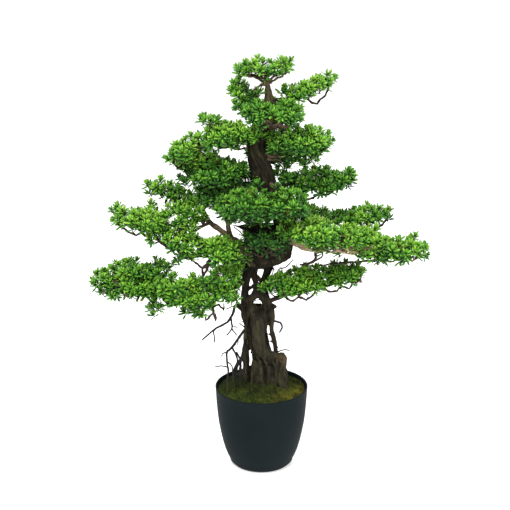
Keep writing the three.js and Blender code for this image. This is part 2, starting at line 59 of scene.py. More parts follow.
# %% A value that can stand in a sum
class Value:
    """The output of a node. Each operator adds the Math node of that name."""

    def __init__(self, finish, socket):
        self.finish = finish
        self.socket = socket

    def math(self, operation, first, second):
        return self.finish.node("ShaderNodeMath", {"operation": operation}, {0: first, 1: second})

    def __add__(self, other):
        return self.math("ADD", self, other)

    def __sub__(self, other):
        return self.math("SUBTRACT", self, other)

    def __rsub__(self, other):
        return self.math("SUBTRACT", other, self)

    def __mul__(self, other):
        return self.math("MULTIPLY", self, other)

    def __pow__(self, other):
        return self.math("POWER", self, other)

    __radd__ = __add__
    __rmul__ = __mul__


# %% A material made of such values
class Finish:
    """A material and the few node recipes that the pieces share."""

    def __init__(self, name):
        self.material = bpy.data.materials.new(name)
        self.material.use_nodes = True
        self.tree = self.material.node_tree
        self.tree.nodes.clear()
        self.place = self.node("ShaderNodeTexCoord", output="Object")

    def node(self, kind, settings=None, sockets=None, output=0):
        made = self.tree.nodes.new(kind)
        for key, value in (settings or {}).items():
            if key == "stops":
                self.set_stops(made.color_ramp, value)
            else:
                setattr(made, key, value)
        for key, value in (sockets or {}).items():
            if isinstance(value, Value):
                self.tree.links.new(value.socket, made.inputs[key])
            else:
                made.inputs[key].default_value = value
        return Value(self, made.outputs[output])

    def set_stops(self, ramp, stops):
        ramp.elements[0].position = stops[0][0]
        ramp.elements[1].position = stops[-1][0]
        for place, _ in stops[1:-1]:
            ramp.elements.new(place)
        for element, (_, colour) in zip(ramp.elements, stops):
            element.color = (*colour, 1)

    def stretched(self, scale):
        return self.node("ShaderNodeMapping", sockets={"Vector": self.place, "Scale": scale})

    def noise(self, scale, detail=3.0, at=None, roughness=0.5, distortion=0.0):
        numbers = {"Scale": scale, "Detail": detail, "Roughness": roughness, "Distortion": distortion}
        return self.node("ShaderNodeTexNoise", sockets={"Vector": at or self.place, **numbers})

    def part_of_place(self, axis):
        """The place along one axis, in metres: 0 across, 1 away, 2 up."""
        return self.node("ShaderNodeSeparateXYZ", sockets={0: self.place}, output=axis)

    def attribute(self, name):
        return self.node("ShaderNodeAttribute", {"attribute_name": name}, output="Fac")

    def between(self, value, low, high):
        """0 up to low and 1 from high on, with a smooth step."""
        settings = {"interpolation_type": "SMOOTHSTEP"}
        return self.node("ShaderNodeMapRange", settings, {"Value": value, 1: low, 2: high})

    def ramp(self, value, *stops):
        return self.node("ShaderNodeValToRGB", {"stops": stops}, {0: value})

    def mix(self, share, first, second):
        def colour(c):
            return c if isinstance(c, Value) else (*c, 1)

        sockets = {0: share, 6: colour(first), 7: colour(second)}
        return self.node("ShaderNodeMix", {"data_type": "RGBA"}, sockets, output=2)

    def surface(self, colour, roughness, height=None, depth=0.0005, **fixed):
        """The shader: colour and roughness vary, height makes a bump, fixed numbers stay."""
        sockets = {"Base Color": colour, "Roughness": roughness}
        if height is not None:
            sockets["Normal"] = self.node("ShaderNodeBump", sockets={"Height": height, "Distance": depth})
        sockets.update({key.replace("_", " "): value for key, value in fixed.items()})
        shader = self.node("ShaderNodeBsdfPrincipled", sockets=sockets)
        output = self.tree.nodes.new("ShaderNodeOutputMaterial")
        self.tree.links.new(shader.socket, output.inputs["Surface"])
        return self.material


print("recipes of a finish:", [name for name in vars(Finish) if not name.startswith("_")])

# %% [markdown]
# ## Bark
# The real trunk is moulded and brushed with dark paint that stays in the furrows. So the colour
# follows noise that is stretched along the wood, and an attribute named tone, which each stem sets
# when it is made, says how light the stem is. The same noise makes the bump, so that dark lines
# are also low lines. Moss colours the wood in the lowest few centimetres above the bed.

# %% Bark of trunk, roots and branches
def bark(name, stops, dusty, fine=420.0, depth=0.0012, mossy=0.3):
    finish = Finish(name)
    along = finish.stretched((1, 1, 0.2))
    fibre = finish.noise(fine * 0.36, 6, along, 0.62, 0.3)
    grain = finish.noise(fine, 4, along, 0.6)
    patch = finish.noise(26, 3)
    tone = finish.attribute("tone")
    light = fibre * 0.85 + grain * 0.35 + tone * 0.5 + patch * 0.3 - 0.5
    colour = finish.ramp(light, *stops)
    dust = finish.between(finish.noise(70, 4), 0.58, 0.72) * 0.35
    colour = finish.mix(dust, colour, dusty)
    rubbed = finish.attribute("ruddy") * finish.between(fibre, 0.3, 0.7) * 0.8
    colour = finish.mix(rubbed, colour, (0.105, 0.062, 0.034))
    low = 1.0 - finish.between(finish.part_of_place(2) + patch * 0.03, 0.205, 0.245)
    colour = finish.mix(low * mossy, colour, (0.034, 0.045, 0.015))
    return finish.surface(colour, 0.94 - 0.2 * tone, fibre + grain * 0.5, depth, Specular_IOR_Level=0.15)


TRUNK_BARK = bark(
    "trunk bark",
    [(0.18, (0.005, 0.0048, 0.0034)), (0.42, (0.0135, 0.0130, 0.0075)), (0.62, (0.035, 0.0340, 0.0165)),
     (0.85, (0.086, 0.081, 0.038)), (1.0, (0.180, 0.155, 0.080))],
    dusty=(0.044, 0.043, 0.021),
)
ROOT_BARK = bark(
    "root bark",
    [(0.2, (0.006, 0.0055, 0.005)), (0.5, (0.018, 0.016, 0.014)), (0.85, (0.060, 0.052, 0.042))],
    dusty=(0.04, 0.034, 0.028),
    fine=700,
    depth=0.0006,
    mossy=0.95,
)
BRANCH_BARK = bark(
    "branch bark",
    [(0.2, (0.010, 0.008, 0.006)), (0.5, (0.045, 0.031, 0.021)), (0.8, (0.210, 0.150, 0.092)),
     (1.0, (0.400, 0.300, 0.180))],
    dusty=(0.08, 0.060, 0.042),
    fine=700,
    depth=0.0006,
)
print("bark finishes:", TRUNK_BARK.name, ROOT_BARK.name, BRANCH_BARK.name)

# %% [markdown]
# ## Leaves
# The leaves are dyed plastic. Young tips are lime, old leaves at the foot of a tuft are dark and a few
# have turned brown. Four numbers drive the colour: tone is random for each leaf, and along runs from
# the foot of a leaf to its tip. A painted light and shade is higher for tufts on top of a pad and
# lower for sprays behind or under others. A soft noise in space makes neighbouring tufts alike.

# %% Leaf green
def leaf_green():
    finish = Finish("leaf green")
    tone = finish.attribute("tone")
    along = finish.attribute("along")
    patch = finish.noise(24, 2)
    # painted light and shade: tufts high in a pad are painted lighter, sprays behind or under others darker
    level = finish.attribute("level")
    shade = tone * 0.38 + patch * 0.6 + along * 0.24 + level * 0.34 - 0.36
    colour = finish.ramp(
        shade,
        (0.12, (0.032, 0.124, 0.019)),
        (0.40, (0.078, 0.270, 0.022)),
        (0.62, (0.190, 0.460, 0.034)),
        (0.88, (0.365, 0.645, 0.074)),
    )
    brown = finish.between(tone, 0.972, 0.985) * 0.8
    colour = finish.mix(brown, colour, (0.17, 0.060, 0.014))
    rusty = finish.between(finish.noise(30, 1), 0.68, 0.75) * (0.25 + tone * 0.45)
    colour = finish.mix(rusty, colour, (0.200, 0.120, 0.022))
    foot = (1.0 - finish.between(along, 0.0, 0.30)) * 0.6
    colour = finish.mix(foot, colour, (0.020, 0.075, 0.008))
    mottle = finish.noise(900, 2)
    return finish.surface(colour, 0.42 + mottle * 0.14, mottle, 0.00012, Specular_IOR_Level=0.3)


LEAF_GREEN = leaf_green()
print("leaf finish:", LEAF_GREEN.name)

# %% [markdown]
# ## Moss, planter and fill
# Dried moss is dyed unevenly, green, and ochre where the dye has faded. Next to the trunk and towards
# the back it is painted darker, as painted shade, and at the back left a little lighter, as painted
# light. The planter is matt plastic with a fine grain from its mould, which shows only as a soft sheen.

# %% Moss
def moss_green():
    finish = Finish("dyed moss")
    clump = finish.noise(42, 4, roughness=0.6)
    hair = finish.noise(900, 3)
    tone = finish.attribute("tone")
    across = finish.part_of_place(0)
    away = finish.part_of_place(1)
    spot = finish.noise(60, 3)
    faded = finish.between(across * 7.0 - away * 3.5 + clump * 0.9 + spot * 0.9, 1.15, 1.75)
    # painted shade: the moss is painted darker towards the back
    shade = finish.between(away, -0.035, 0.045)
    light = clump + hair * 0.3 + tone * 0.32 - shade * 0.13 - 0.21
    green = finish.ramp(
        light, (0.30, (0.006, 0.011, 0.003)), (0.52, (0.026, 0.040, 0.007)), (0.80, (0.100, 0.135, 0.020))
    )
    ochre = finish.ramp(light, (0.3, (0.034, 0.034, 0.005)), (0.8, (0.240, 0.215, 0.026)))
    colour = finish.mix(faded * 0.75, green, ochre)
    # painted shade: the moss next to the trunk is painted darker
    painted_shade_by_trunk = 1.0 - finish.between((across - 0.012) ** 2.0 + (away + 0.02) ** 2.0, 0.0018, 0.0046)
    colour = finish.mix(painted_shade_by_trunk * 0.35, colour, (0.012, 0.015, 0.005))
    # painted light: the moss at the back left is painted lighter against the shade there
    behind = finish.between(away - across * 0.3, 0.0, 0.06)
    colour = finish.mix(behind * 0.4, colour, (0.075, 0.095, 0.042))
    return finish.surface(colour, 0.95, hair + clump * 0.5, 0.0015, Specular_IOR_Level=0.2)


MOSS_GREEN = moss_green()
print("moss finish:", MOSS_GREEN.name)


# %% Planter plastic and cast fill
def planter_plastic():
    finish = Finish("charcoal planter plastic")
    grain = finish.noise(1400, 2)
    cloud = finish.noise(9, 3)
    rub = finish.between(finish.noise(55, 5, roughness=0.7), 0.62, 0.75)
    colour = finish.ramp(cloud, (0.3, (0.0054, 0.0098, 0.0110)), (0.7, (0.0081, 0.0134, 0.0150)))
    colour = finish.mix(rub * 0.2, colour, (0.014, 0.020, 0.022))
    return finish.surface(colour, 0.58 + grain * 0.16 - rub * 0.05, grain, 0.00025, Specular_IOR_Level=0.06)


def cast_fill():
    finish = Finish("cast fill")
    lump = finish.noise(120, 5)
    colour = finish.ramp(lump, (0.3, (0.03, 0.022, 0.015)), (0.7, (0.10, 0.08, 0.06)))
    return finish.surface(colour, 0.9, lump, 0.002)


PLANTER_PLASTIC = planter_plastic()
CAST_FILL = cast_fill()
print("planter and fill finishes:", PLANTER_PLASTIC.name, CAST_FILL.name)

# %% [markdown]
# ## A path through stations
# Stems, roots and limbs are written down as the solids were, in millimetres: each is a list of
# stations, and a station is a place x, y, z with a radius. The solids are plain tubes on a smooth
# curve through their stations. The new pieces use the same curve, to lie on the same line: each
# stretch is a cubic between two stations, and its slopes come from the neighbours, weighted by the
# distances. Then the curve is read off at even steps.

# %% Read a path at even steps
FINE_STEPS = 24  # points on each stretch, from which the even steps are read


def slopes(a, b, c, d):
    """The slopes at b and c of the curve through four stations."""
    first, middle, last = [max((q - p).length, 1e-4) ** 0.5 for p, q in ((a, b), (b, c), (c, d))]
    at_b = (b - a) / first - (c - a) / (first + middle) + (c - b) / middle
    at_c = (c - b) / middle - (d - b) / (middle + last) + (d - c) / last
    return at_b * middle, at_c * middle


def between_spots(first, second, share):
    """The (place, radius) at a share of the way from one spot to the next."""
    return first[0].lerp(second[0], share), first[1] + (second[1] - first[1]) * share


def path(stations, step):
    """Points along the curve, step apart, as (place, radius), all in millimetres."""
    places = [Vector(station[:3]) for station in stations]
    radii = [station[3] for station in stations]
    padded = [2 * places[0] - places[1], *places, 2 * places[-1] - places[-2]]
    dense = []
    for i in range(len(places) - 1):
        a, b, c, d = padded[i : i + 4]
        out, into = slopes(a, b, c, d)
        for k in range(FINE_STEPS):
            t = k / FINE_STEPS
            point = b + out * t + (3 * (c - b) - 2 * out - into) * t**2 + (2 * (b - c) + out + into) * t**3
            dense.append((point, radii[i] + (radii[i + 1] - radii[i]) * t))
    dense.append((places[-1], radii[-1]))
    lengths = [0.0]
    for (p, _), (q, _) in zip(dense, dense[1:]):
        lengths.append(lengths[-1] + (q - p).length)
    count = max(2, round(lengths[-1] / step))
    points, k = [], 0
    for i in range(count + 1):
        want = lengths[-1] * i / count
        while k < len(dense) - 2 and lengths[k + 1] < want:
            k += 1
        share = (want - lengths[k]) / max(lengths[k + 1] - lengths[k], 1e-9)
        points.append(between_spots(dense[k], dense[k + 1], share))
    return points


print("steps of 10 mm on a straight path of 100 mm:", len(path([[0, 0, 0, 1], [100, 0, 0, 1]], 10)) - 1)

# %% [markdown]
# ## Wood from curves
# A curve with a bevel is the quickest way to make a stem: each point has its own radius. Turned
# into a mesh, several stems can be joined, remeshed or displaced. Real twigs aren't smooth tubes.
# They bend at every bud and thicken there, so the points are pushed about a little.

# %% Meshes and pieces
def triangles_of(mesh):
    return sum(len(face.vertices) - 2 for face in mesh.polygons)


def shown_mesh(holder):
    """The mesh that an object shows with its bevel or modifiers. The object itself is removed."""
    bpy.context.scene.collection.objects.link(holder)
    depsgraph = bpy.context.evaluated_depsgraph_get()
    mesh = bpy.data.meshes.new_from_object(holder.evaluated_get(depsgraph))
    bpy.data.objects.remove(holder)
    return mesh


def finished_mesh(name, bm):
    mesh = bpy.data.meshes.new(name)
    bm.to_mesh(mesh)
    bm.free()
    return mesh


def turn_out_and_smooth(bm):
    bmesh.ops.recalc_face_normals(bm, faces=bm.faces)
    for face in bm.faces:
        face.smooth = True


def add_copy(bm, mesh, place, layer, number):
    """Adds a copy of a mesh in its place and writes a number on its points."""
    known = len(bm.verts)
    copy = mesh.copy()
    copy.transform(place)
    bm.from_mesh(copy)
    bpy.data.meshes.remove(copy)
    bm.verts.ensure_lookup_table()
    for vert in bm.verts[known:]:
        vert[layer] = number


def piece(name, mesh, finish, node):
    """A piece of the tree that replaces the solid it is drawn over."""
    mesh.name = name
    made = bpy.data.objects.new(name, mesh)
    bpy.context.scene.collection.objects.link(made)
    mesh.materials.clear()
    mesh.materials.append(finish)
    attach(made, "root")
    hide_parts(node)


print("triangles of the trunk's solid:", triangles_of(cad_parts["trunk"].data))


# %% Stems with knots
KNOT_EVERY = 3  # points from one knot to the next


def stems_mesh(name, paths, roundness):
    """One mesh of closed tubes through lists of (place, radius) in millimetres."""
    curve = bpy.data.curves.new(name, "CURVE")
    curve.dimensions = "3D"
    curve.bevel_depth = MM
    curve.bevel_resolution = roundness
    curve.use_fill_caps = True
    for points in paths:
        spline = curve.splines.new("POLY")
        spline.points.add(len(points) - 1)
        for spot, (place, radius) in zip(spline.points, points):
            spot.co = (*(place * MM), 1)
            spot.radius = radius
    mesh = shown_mesh(bpy.data.objects.new(name, curve))
    bpy.data.curves.remove(curve)
    return mesh


def knotted(points, rng, wander, swell):
    """The same path with a bend at every point, a knot at every few, and its ends kept."""
    made = []
    for i, (place, radius) in enumerate(points):
        if 0 < i < len(points) - 1:
            place = place + Vector([rng.uniform(-wander, wander) for _ in range(3)])
        knot = swell if i % KNOT_EVERY == 0 else -swell * 0.4
        made.append((place, radius * (1 + knot * rng.uniform(0.4, 1.2))))
    return made


rod = [(Vector((0, 0, z)), 1) for z in range(7)]
rod = knotted(rod, random.Random(1), wander=0.2, swell=0.1)
print("radii of a rod with knots:", [round(radius, 2) for _, radius in rod])

# %% [markdown]
# ## Trunk
# The lower trunk is a bundle: a thick body, a smooth stem that swoops across it to a burl at the
# right, and thinner stems that twist up to the elbow and leave gaps that one sees through. The stems
# are those of the solid, some of them laid a few millimetres closer to the real ones.

# %% Stems of the trunk
TRUNK_FOOT = 140  # where the stems end, down in the cast fill
STEMS = {
    "lower body": [
        [8, 5, TRUNK_FOOT, 35], [8, 5, 200, 33], [5, 6, 240, 28], [0, 7, 275, 22], [-8, 8, 306, 20],
        [-9, 6, 340, 25], [-10, 4, 362, 26], [-10, 2, 380, 19],
    ],
    "swooping stem": [
        [-30, -6, 392, 6], [-19, -14, 380, 12], [-10, -19, 358, 15.5], [-8, -23, 324, 15],
        [-4.5, -25, 297, 15.5], [5, -27, 280, 14], [18, -27, 273.5, 12], [29, -26, 273, 10],
        [37, -25, 272, 8],
    ],
    "burl at the right": [
        [46, -20, TRUNK_FOOT, 14], [45.5, -24, 200, 11], [45, -26, 230, 11], [45, -27, 250, 12.5],
        [45, -27, 266, 13.5], [45, -27, 274, 11], [45, -27, 279.5, 6],
    ],
    "left column": [
        [-37, -2, TRUNK_FOOT, 9], [-37, -2, 200, 8], [-37, -1, 250, 6.5], [-33, 2, 300, 9],
        [-28, 4, 345, 12],
    ],
    "right runner": [
        [33, -14, 270, 6], [31, -10, 288, 4.8], [28.4, -7, 300, 5.4], [24, -4, 317, 5.8],
        [22.4, -2, 340, 5.9], [24.2, -2, 356, 5.5], [21, -4, 380, 8], [12, -8, 399, 7], [3, -9, 414, 6.5],
        [-8, -6, 430, 6], [-15, 2, 445, 5.5], [-17, 4, 460, 6.5], [-12, 4, 484, 10],
    ],
    "left twist": [
        [-33, -2, 364, 13], [-37, -2, 392, 9], [-38, -2, 416, 8], [-36, -2, 440, 9], [-30, 0, 463, 11],
        [-24, 0, 486, 13],
    ],
    "right twist": [
        [-33, -8, 385, 6], [-24, -9, 404, 5.5], [-13, -9, 423.5, 5.6], [-2.5, -8, 436, 4.6],
        [3.5, -6, 449, 5.2], [10.5, -4, 466, 6.6], [17, -3, 490, 9],
    ],
    "back twist": [[16, 0, 386, 7], [12, 4, 412, 5], [11, 8, 430, 4.5], [14, 8, 450, 5], [20, 6, 482, 9]],
    "upper trunk": [
        [-24, 2, 482, 12], [0, 0, 491, 17], [26, 0, 498, 21], [46, 2, 518, 23], [50, 2, 548, 21],
        [41, 0, 590, 18], [27, -2, 634, 16], [16, -2, 672, 16], [3, -2, 706, 19], [-9, -2, 740, 23],
        [-8, 0, 776, 20], [4, 2, 812, 15], [14, 2, 845, 11], [13, 0, 870, 7.5], [11, 0, 889, 4],
    ],
    "shoulder stub": [
        [51, 2, 540, 14], [27, -6, 555, 13], [-2, -12, 567, 9], [-26, -20, 574, 6], [-44, -26, 578, 3.5],
    ],
    "root flare, front left": [[-12, -30, TRUNK_FOOT, 7], [-11, -27, 190, 7], [-8, -18, 232, 6]],
    "root flare, right": [[56, 6, TRUNK_FOOT, 7], [46, 6, 190, 7], [30, 8, 238, 6]],
    "root flare, back": [[14, 48, TRUNK_FOOT, 8], [10, 38, 190, 8], [4, 26, 240, 7]],
    "root flare, back left": [[-34, 32, TRUNK_FOOT, 8], [-24, 26, 190, 8], [-10, 18, 242, 7]],
}
spots = path(STEMS["upper trunk"], 5)
print("stems:", len(STEMS), "upper trunk along its bends in mm:",
      round(sum((q[0] - p[0]).length for p, q in zip(spots, spots[1:]))))

# %% [markdown]
# Ribs run down the foot like thin roots, and more stems give the bundle what plain tubes lack: bands
# that cross the twisted part and leave thin gaps between them, round bends, full flanks. They are
# grouped by the place that they fill.

# %% Ribs and stems that fill the bundle
RIBS = [
    [[-11, -30, 274, 2.6], [-6, -33, 265, 3], [0, -35, 253, 3.2], [1, -35, 239, 3], [1, -35, 222, 3],
     [3, -37, 200, 3.4], [4, -39, 180, 4.4], [5, -41, 150, 5]],
    [[5, -34, 264, 3], [13, -35, 252, 3.2], [16, -34, 228, 3.2], [14.5, -35, 205, 3.4], [16, -39, 185, 4.4],
     [18, -42, 150, 5]],
    [[23, -34, 262, 3], [31, -34, 248, 3.4], [32.5, -34, 228, 3.2], [31.5, -35, 209, 3.4],
     [33, -39, 188, 4.6], [36, -44, 150, 6]],
    [[-17, -22, 262, 2.6], [-20, -24, 232, 3], [-23, -26, 200, 3.6], [-27, -30, 180, 4.6],
     [-30, -32, 150, 5]],
    [[-3, -33, 246, 2.4], [-8, -33, 226, 3], [-11, -34, 200, 3.4], [-12, -38, 180, 4.4],
     [-13, -40, 150, 5]],
    [[54, -28, 252, 2.6], [53, -30, 228, 3], [54, -32, 205, 3.4], [59, -34, 186, 5], [62, -36, 150, 6]],
    [[43, -38, 248, 2.6], [42, -35, 228, 3], [43, -36, 206, 3.4], [47, -42, 186, 5], [50, -47, 150, 6]],
    [[54, -14, 236, 4], [57, -14, 200, 5], [62, -14, 150, 6]],
    [[40, 26, 150, 8], [34, 24, 190, 7], [22, 18, 236, 6], [4, 16, 290, 4]],
    [[-14, 38, 150, 8], [-12, 33, 190, 7], [-10, 28, 250, 6], [-14, 24, 330, 4]],
]
EXTRA_STEMS = {
    "bands across the twisted part": [
        [[-25, -7, 391, 1.8], [-14, -8, 396, 1.5], [-3, -8, 401, 1.8]],
        [[-36, -4, 417, 4], [-25, -5, 427, 3.4], [-14, -6, 434.5, 5]],
        [[-35, -5, 396, 8], [-24, -7, 403.5, 7.4], [-12, -8, 411, 7.8], [-2, -9, 417, 8]],
        [[-28, -8, 384, 8], [-14, -12, 377, 8], [0, -12, 380.5, 7.5], [12, -8, 384, 8]],
        [[13, -8, 380, 9], [8, -8, 396, 8.6], [2, -9, 410, 9], [-4, -9, 422, 8], [-9, -8, 433, 5.5]],
        [[-9, -7, 428, 5], [-14, 0, 440, 6], [-17, 3, 456, 7], [-19, 4, 484, 10]],
        [[-25, 2, 452, 4], [-25, 2, 466, 7], [-22, 2, 486, 10]],
        [[14, 3, 474, 7], [8, 3, 458, 5.5], [8, 3, 444, 4.5]],
    ],
    "cut stub at the right, full left flank": [
        [[18, -4, 384, 7], [26, -8, 384, 6.5], [32, -9, 382, 6], [34, -9, 382, 4]],
        [[-22, 4, 306, 8], [-28, 2, 334, 11], [-34, 0, 360, 12], [-38, -2, 386, 9.5], [-38, -3, 402, 6]],
        [[-41, -5, 387, 7], [-39, -5, 372, 7.5], [-33, -4, 350, 8]],
    ],
    "strands round the hollow": [
        [[-30, -12, 394, 3], [-30, -18, 373, 3.2], [-33, -18, 351, 3.4], [-34, -14, 330, 3],
         [-31, -12, 306, 3]],
        [[-9, -25, 386, 2.2], [-14, -28, 375, 2.4], [-19, -33, 360, 2.4], [-23, -34, 345, 2]],
        [[6, -16, 394, 3], [8, -24, 383, 3], [4, -29, 372, 3], [-5, -32, 366, 3], [-13, -32, 368, 2.5]],
    ],
    "edge of the body at the slits": [
        [[16.5, 4, 268, 5], [14, 4, 288, 5], [11.5, 4, 304, 5], [8.5, 4, 322, 4.5], [6, 4, 340, 5]],
        [[15, -2, 390, 6], [15.5, -2, 376, 6], [16, -2, 362, 5], [16, -2, 354, 3.4]],
    ],
    "flank and top of the upper trunk": [
        [[-12, -2, 752, 14], [-15, -2, 728, 15.5], [-15, -2, 705, 15.5], [-11, -2, 690, 15],
         [-1, -2, 672, 14], [7, -2, 655, 12.5], [14, -2, 636, 11]],
        [[-2, -4, 768, 18], [4, -6, 790, 16.5], [8, -6, 808, 12], [12, -4, 830, 9]],
    ],
    "bridges across the slits": [
        [[6, -6, 322, 3.4], [17, -6, 316, 2.2], [25, -6, 312, 3]],
        [[8, -8, 305, 3.4], [19, -7, 300.5, 2], [29, -7, 297, 3]],
    ],
    "elbow and shoulder stub": [
        [[30, -2, 498, 14], [42, -10, 498, 10], [56, -6, 500, 8], [63, -4, 512, 6]],
        [[-44, -26, 577, 4.5], [-26, -20, 573, 7.5], [-2, -12, 567, 11], [26, -6, 558, 15],
         [46, 0, 550, 17]],
    ],
    "bend behind the dark leaves": [
        [[-70, -22, 579, 1.8], [-60, -20, 577, 2.2], [-50, -16, 573, 3], [-40, -13, 571, 6.5],
         [-28, -10, 569, 10.5], [-16, -8, 568, 13.5], [-1, -8, 567, 14], [18, -6, 562, 14],
         [36, -3, 549, 14], [50, 0, 532, 14]],
        [[-29, -8, 566, 9], [-30, -8, 552, 9], [-27, -6, 538, 10], [-21, -4, 526, 10]],
        [[-26, -6, 556, 9], [-12, -7, 551, 10], [2, -7, 547, 11], [18, -6, 542, 11]],
        [[50, 6, 538, 12], [20, 6, 529, 9], [-8, 6, 519, 8], [-33, 4, 508, 7]],
        [[-42, 0, 486, 6], [-30, -4, 486, 9], [-12.5, -4, 481, 10.5], [5, -4, 481.5, 10.5],
         [26, -2, 490, 10]],
        [[-37, 0, 500, 10], [-17, -2, 499, 12], [10, -2, 501, 13], [32, 0, 509, 13]],
    ],
    "shoulder of the upper root": [
        [[-30, -4, 370, 9], [-41, -5, 373, 6.5], [-49, -8, 379, 4.2], [-56, -12, 386, 3.4]],
    ],
    "groove under the swooping stem": [[[0, -22, 263, 7], [14, -25, 259, 7.5], [30, -25, 258, 7.5]]],
    "foot between the ribs": [
        [[-3, -13, 158, 24], [-2, -13, 200, 22], [-2, -13, 236, 20], [-4, -12, 258, 17]],
        [[20, -13, 158, 24], [21, -13, 200, 21.5], [20, -13, 234, 19], [16, -13, 254, 16]],
        [[36, -14, 158, 20], [36, -16, 200, 17], [35, -18, 232, 13], [34, -20, 256, 9]],
    ],
    "left column and its slit": [
        [[-33, -2, 292, 5.5], [-31.5, -3, 264, 4.6], [-31.5, -3, 238, 4.6], [-34, -3, 200, 7],
         [-35, -3, 158, 8]],
        [[-25, -5, 302, 5.5], [-24, -5, 287, 4.6], [-25, -4, 278, 3.4]],
        [[-36, 0, 226, 8], [-22, 2, 229, 8.5], [-8, 4, 232, 10]],
    ],
}
FILLING = [stem for group in EXTRA_STEMS.values() for stem in group]
print("ribs:", len(RIBS), "filling stems:", len(FILLING))

# %% [markdown]
# Tubes that only overlap would show hard lines where they cross. A voxel remesh melts them into one
# skin.

# %% Melt the stems into one skin
VOXEL = 1.8  # in millimetres


def trunk_skin():
    rng = random.Random(7)
    paths = [knotted(path(stem, 14), rng, wander=0.8, swell=0.03) for stem in STEMS.values()]
    paths += [knotted(path(stem, 10), rng, wander=0.8, swell=0.08) for stem in RIBS + FILLING]
    mesh = stems_mesh("stems", paths, 3)
    holder = bpy.data.objects.new("stems", mesh)
    remesh = holder.modifiers.new("melt", "REMESH")
    remesh.mode = "VOXEL"
    remesh.voxel_size = VOXEL * MM
    skin = shown_mesh(holder)
    bpy.data.meshes.remove(mesh)
    return skin


trunk_mesh = trunk_skin()
print("trunk skin:", len(trunk_mesh.polygons), "faces")

# %% [markdown]
# Each point of the skin then asks which stem it lies on, and gets that stem's tone and its furrows,
# which run along the stem and wind round it a little.

# %% Find the stem under each point
STEM_LOOKS = {  # tone, furrow depth in millimetres, how ruddy
    "lower body": (0.26, 2.0, 0.1),
    "swooping stem": (0.40, 0.8, 0.1),
    "burl at the right": (0.38, 1.6, 0.3),
    "left column": (0.75, 1.2, 0.1),
    "right runner": (0.22, 0.9, 0.25),
    "left twist": (0.10, 1.4, 0.0),
    "right twist": (0.04, 0.8, 0.0),
    "back twist": (0.06, 0.6, 0.0),
    "upper trunk": (0.32, 2.1, 0.1),
    "shoulder stub": (0.12, 1.0, 0.2),
}
FLARE_LOOK = (0.28, 1.6, 0.1)
RIB_LOOK = (0.40, 0.7, 0.1)
FILLING_LOOK = (0.14, 0.8, 0.1)
SAMPLE_STEP = 6  # in millimetres


def samples_of_stems():
    """Points on the middle lines: place, radius, look, distance along, two ways across, way along."""
    looks = [(stem, STEM_LOOKS.get(name, FLARE_LOOK)) for name, stem in STEMS.items()]
    looks += [(stem, RIB_LOOK) for stem in RIBS] + [(stem, FILLING_LOOK) for stem in FILLING]
    samples = []
    for stem, look in looks:
        points = path(stem, SAMPLE_STEP)
        side = Vector((1, 0, 0))
        for i, (place, radius) in enumerate(points):
            ahead = points[min(i + 1, len(points) - 1)][0] - points[max(i - 1, 0)][0]
            ahead.normalize()
            side = (side - ahead * side.dot(ahead)).normalized()
            samples.append((place, radius, look, SAMPLE_STEP * i, side.copy(), ahead.cross(side), ahead))
    return samples


def nearest_stem(tree, samples, point):
    """Among the nearest samples, the one whose own surface is nearest to the point."""
    found = tree.find_n(point, 8)
    return min((samples[i] for _, i, _ in found), key=lambda s: abs((point - s[0]).length - s[1]))


stem_samples = samples_of_stems()
stem_tree = KDTree(len(stem_samples))
for i, sample in enumerate(stem_samples):
    stem_tree.insert(sample[0], i)
stem_tree.balance()
print("samples of the stems:", len(stem_samples))


# %% Work out the bark at a point
HOLLOW = Vector((-4, -28, 379))  # in the front, under the twisted part
KNOT = Vector((46.8, -39, 269))  # on the burl
TIP_STARTS = 815  # from here the wood gets paler and ruddier, over 40 mm


def hump(distance, width, ring=0):
    """1 on a ring round a place, or at the place itself, and softly 0 away from it."""
    return math.exp(-(((distance - ring) / width) ** 2))


def special_places(point, normal):
    """The hollow under the twisted part and the knot on the burl: push, tone and ruddiness."""
    push = tone = 0.0
    if normal.y < 0:
        off = math.hypot((point.x - HOLLOW.x) / 11, (point.z - HOLLOW.z) / 8)
        push -= 6 * max(0.0, 1 - off)
        # painted shade: the middle of the hollow is painted darker
        tone -= 0.25 * hump(off, 1.1)
    near = (point - KNOT).length
    push += 2.2 * hump(near, 2, ring=6) - 3.5 * hump(near, 3)
    tone += 0.2 * hump(near, 2, ring=6) - 0.3 * hump(near, 2.6)
    tip = min(max((point.z - TIP_STARTS) / 40, 0), 1)
    return push, tone + 0.9 * tip, 1.1 * hump(near, 8) + 0.8 * tip


def bark_at(point, normal):
    """How far the bark stands out at a point in millimetres, its tone and how ruddy it is."""
    place, _, (tone, furrow, ruddy), start, side, over, ahead = nearest_stem(stem_tree, stem_samples, point)
    off = point - place
    run = start + off.dot(ahead)
    turn = run * 0.012
    x, y = off.dot(side), off.dot(over)
    x, y = x * math.cos(turn) - y * math.sin(turn), x * math.sin(turn) + y * math.cos(turn)
    ridge = abs(noise.noise(Vector((x, y, run * 0.16)) * 0.13 + Vector((tone * 90, 0, 0))))
    fibre = noise.noise(Vector((x, y, run * 0.22)) * 0.42 + Vector((0, tone * 70, 0)))
    lump = noise.noise(point * 0.035)
    blush = max(0.0, noise.noise(point * 0.05 + Vector((40, 0, 0))))
    more_push, more_tone, more_ruddy = special_places(point, normal)
    return (
        furrow * (1.9 * ridge - 0.55 + 0.35 * fibre) + lump + more_push,
        tone + 0.10 * lump + 0.30 * (ridge - 0.25) * (furrow / 2) + more_tone,
        ruddy + more_ruddy + 0.3 * blush,
    )


print("bark at the knot:", [round(number, 2) for number in bark_at(KNOT, Vector((0, -1, 0)))])


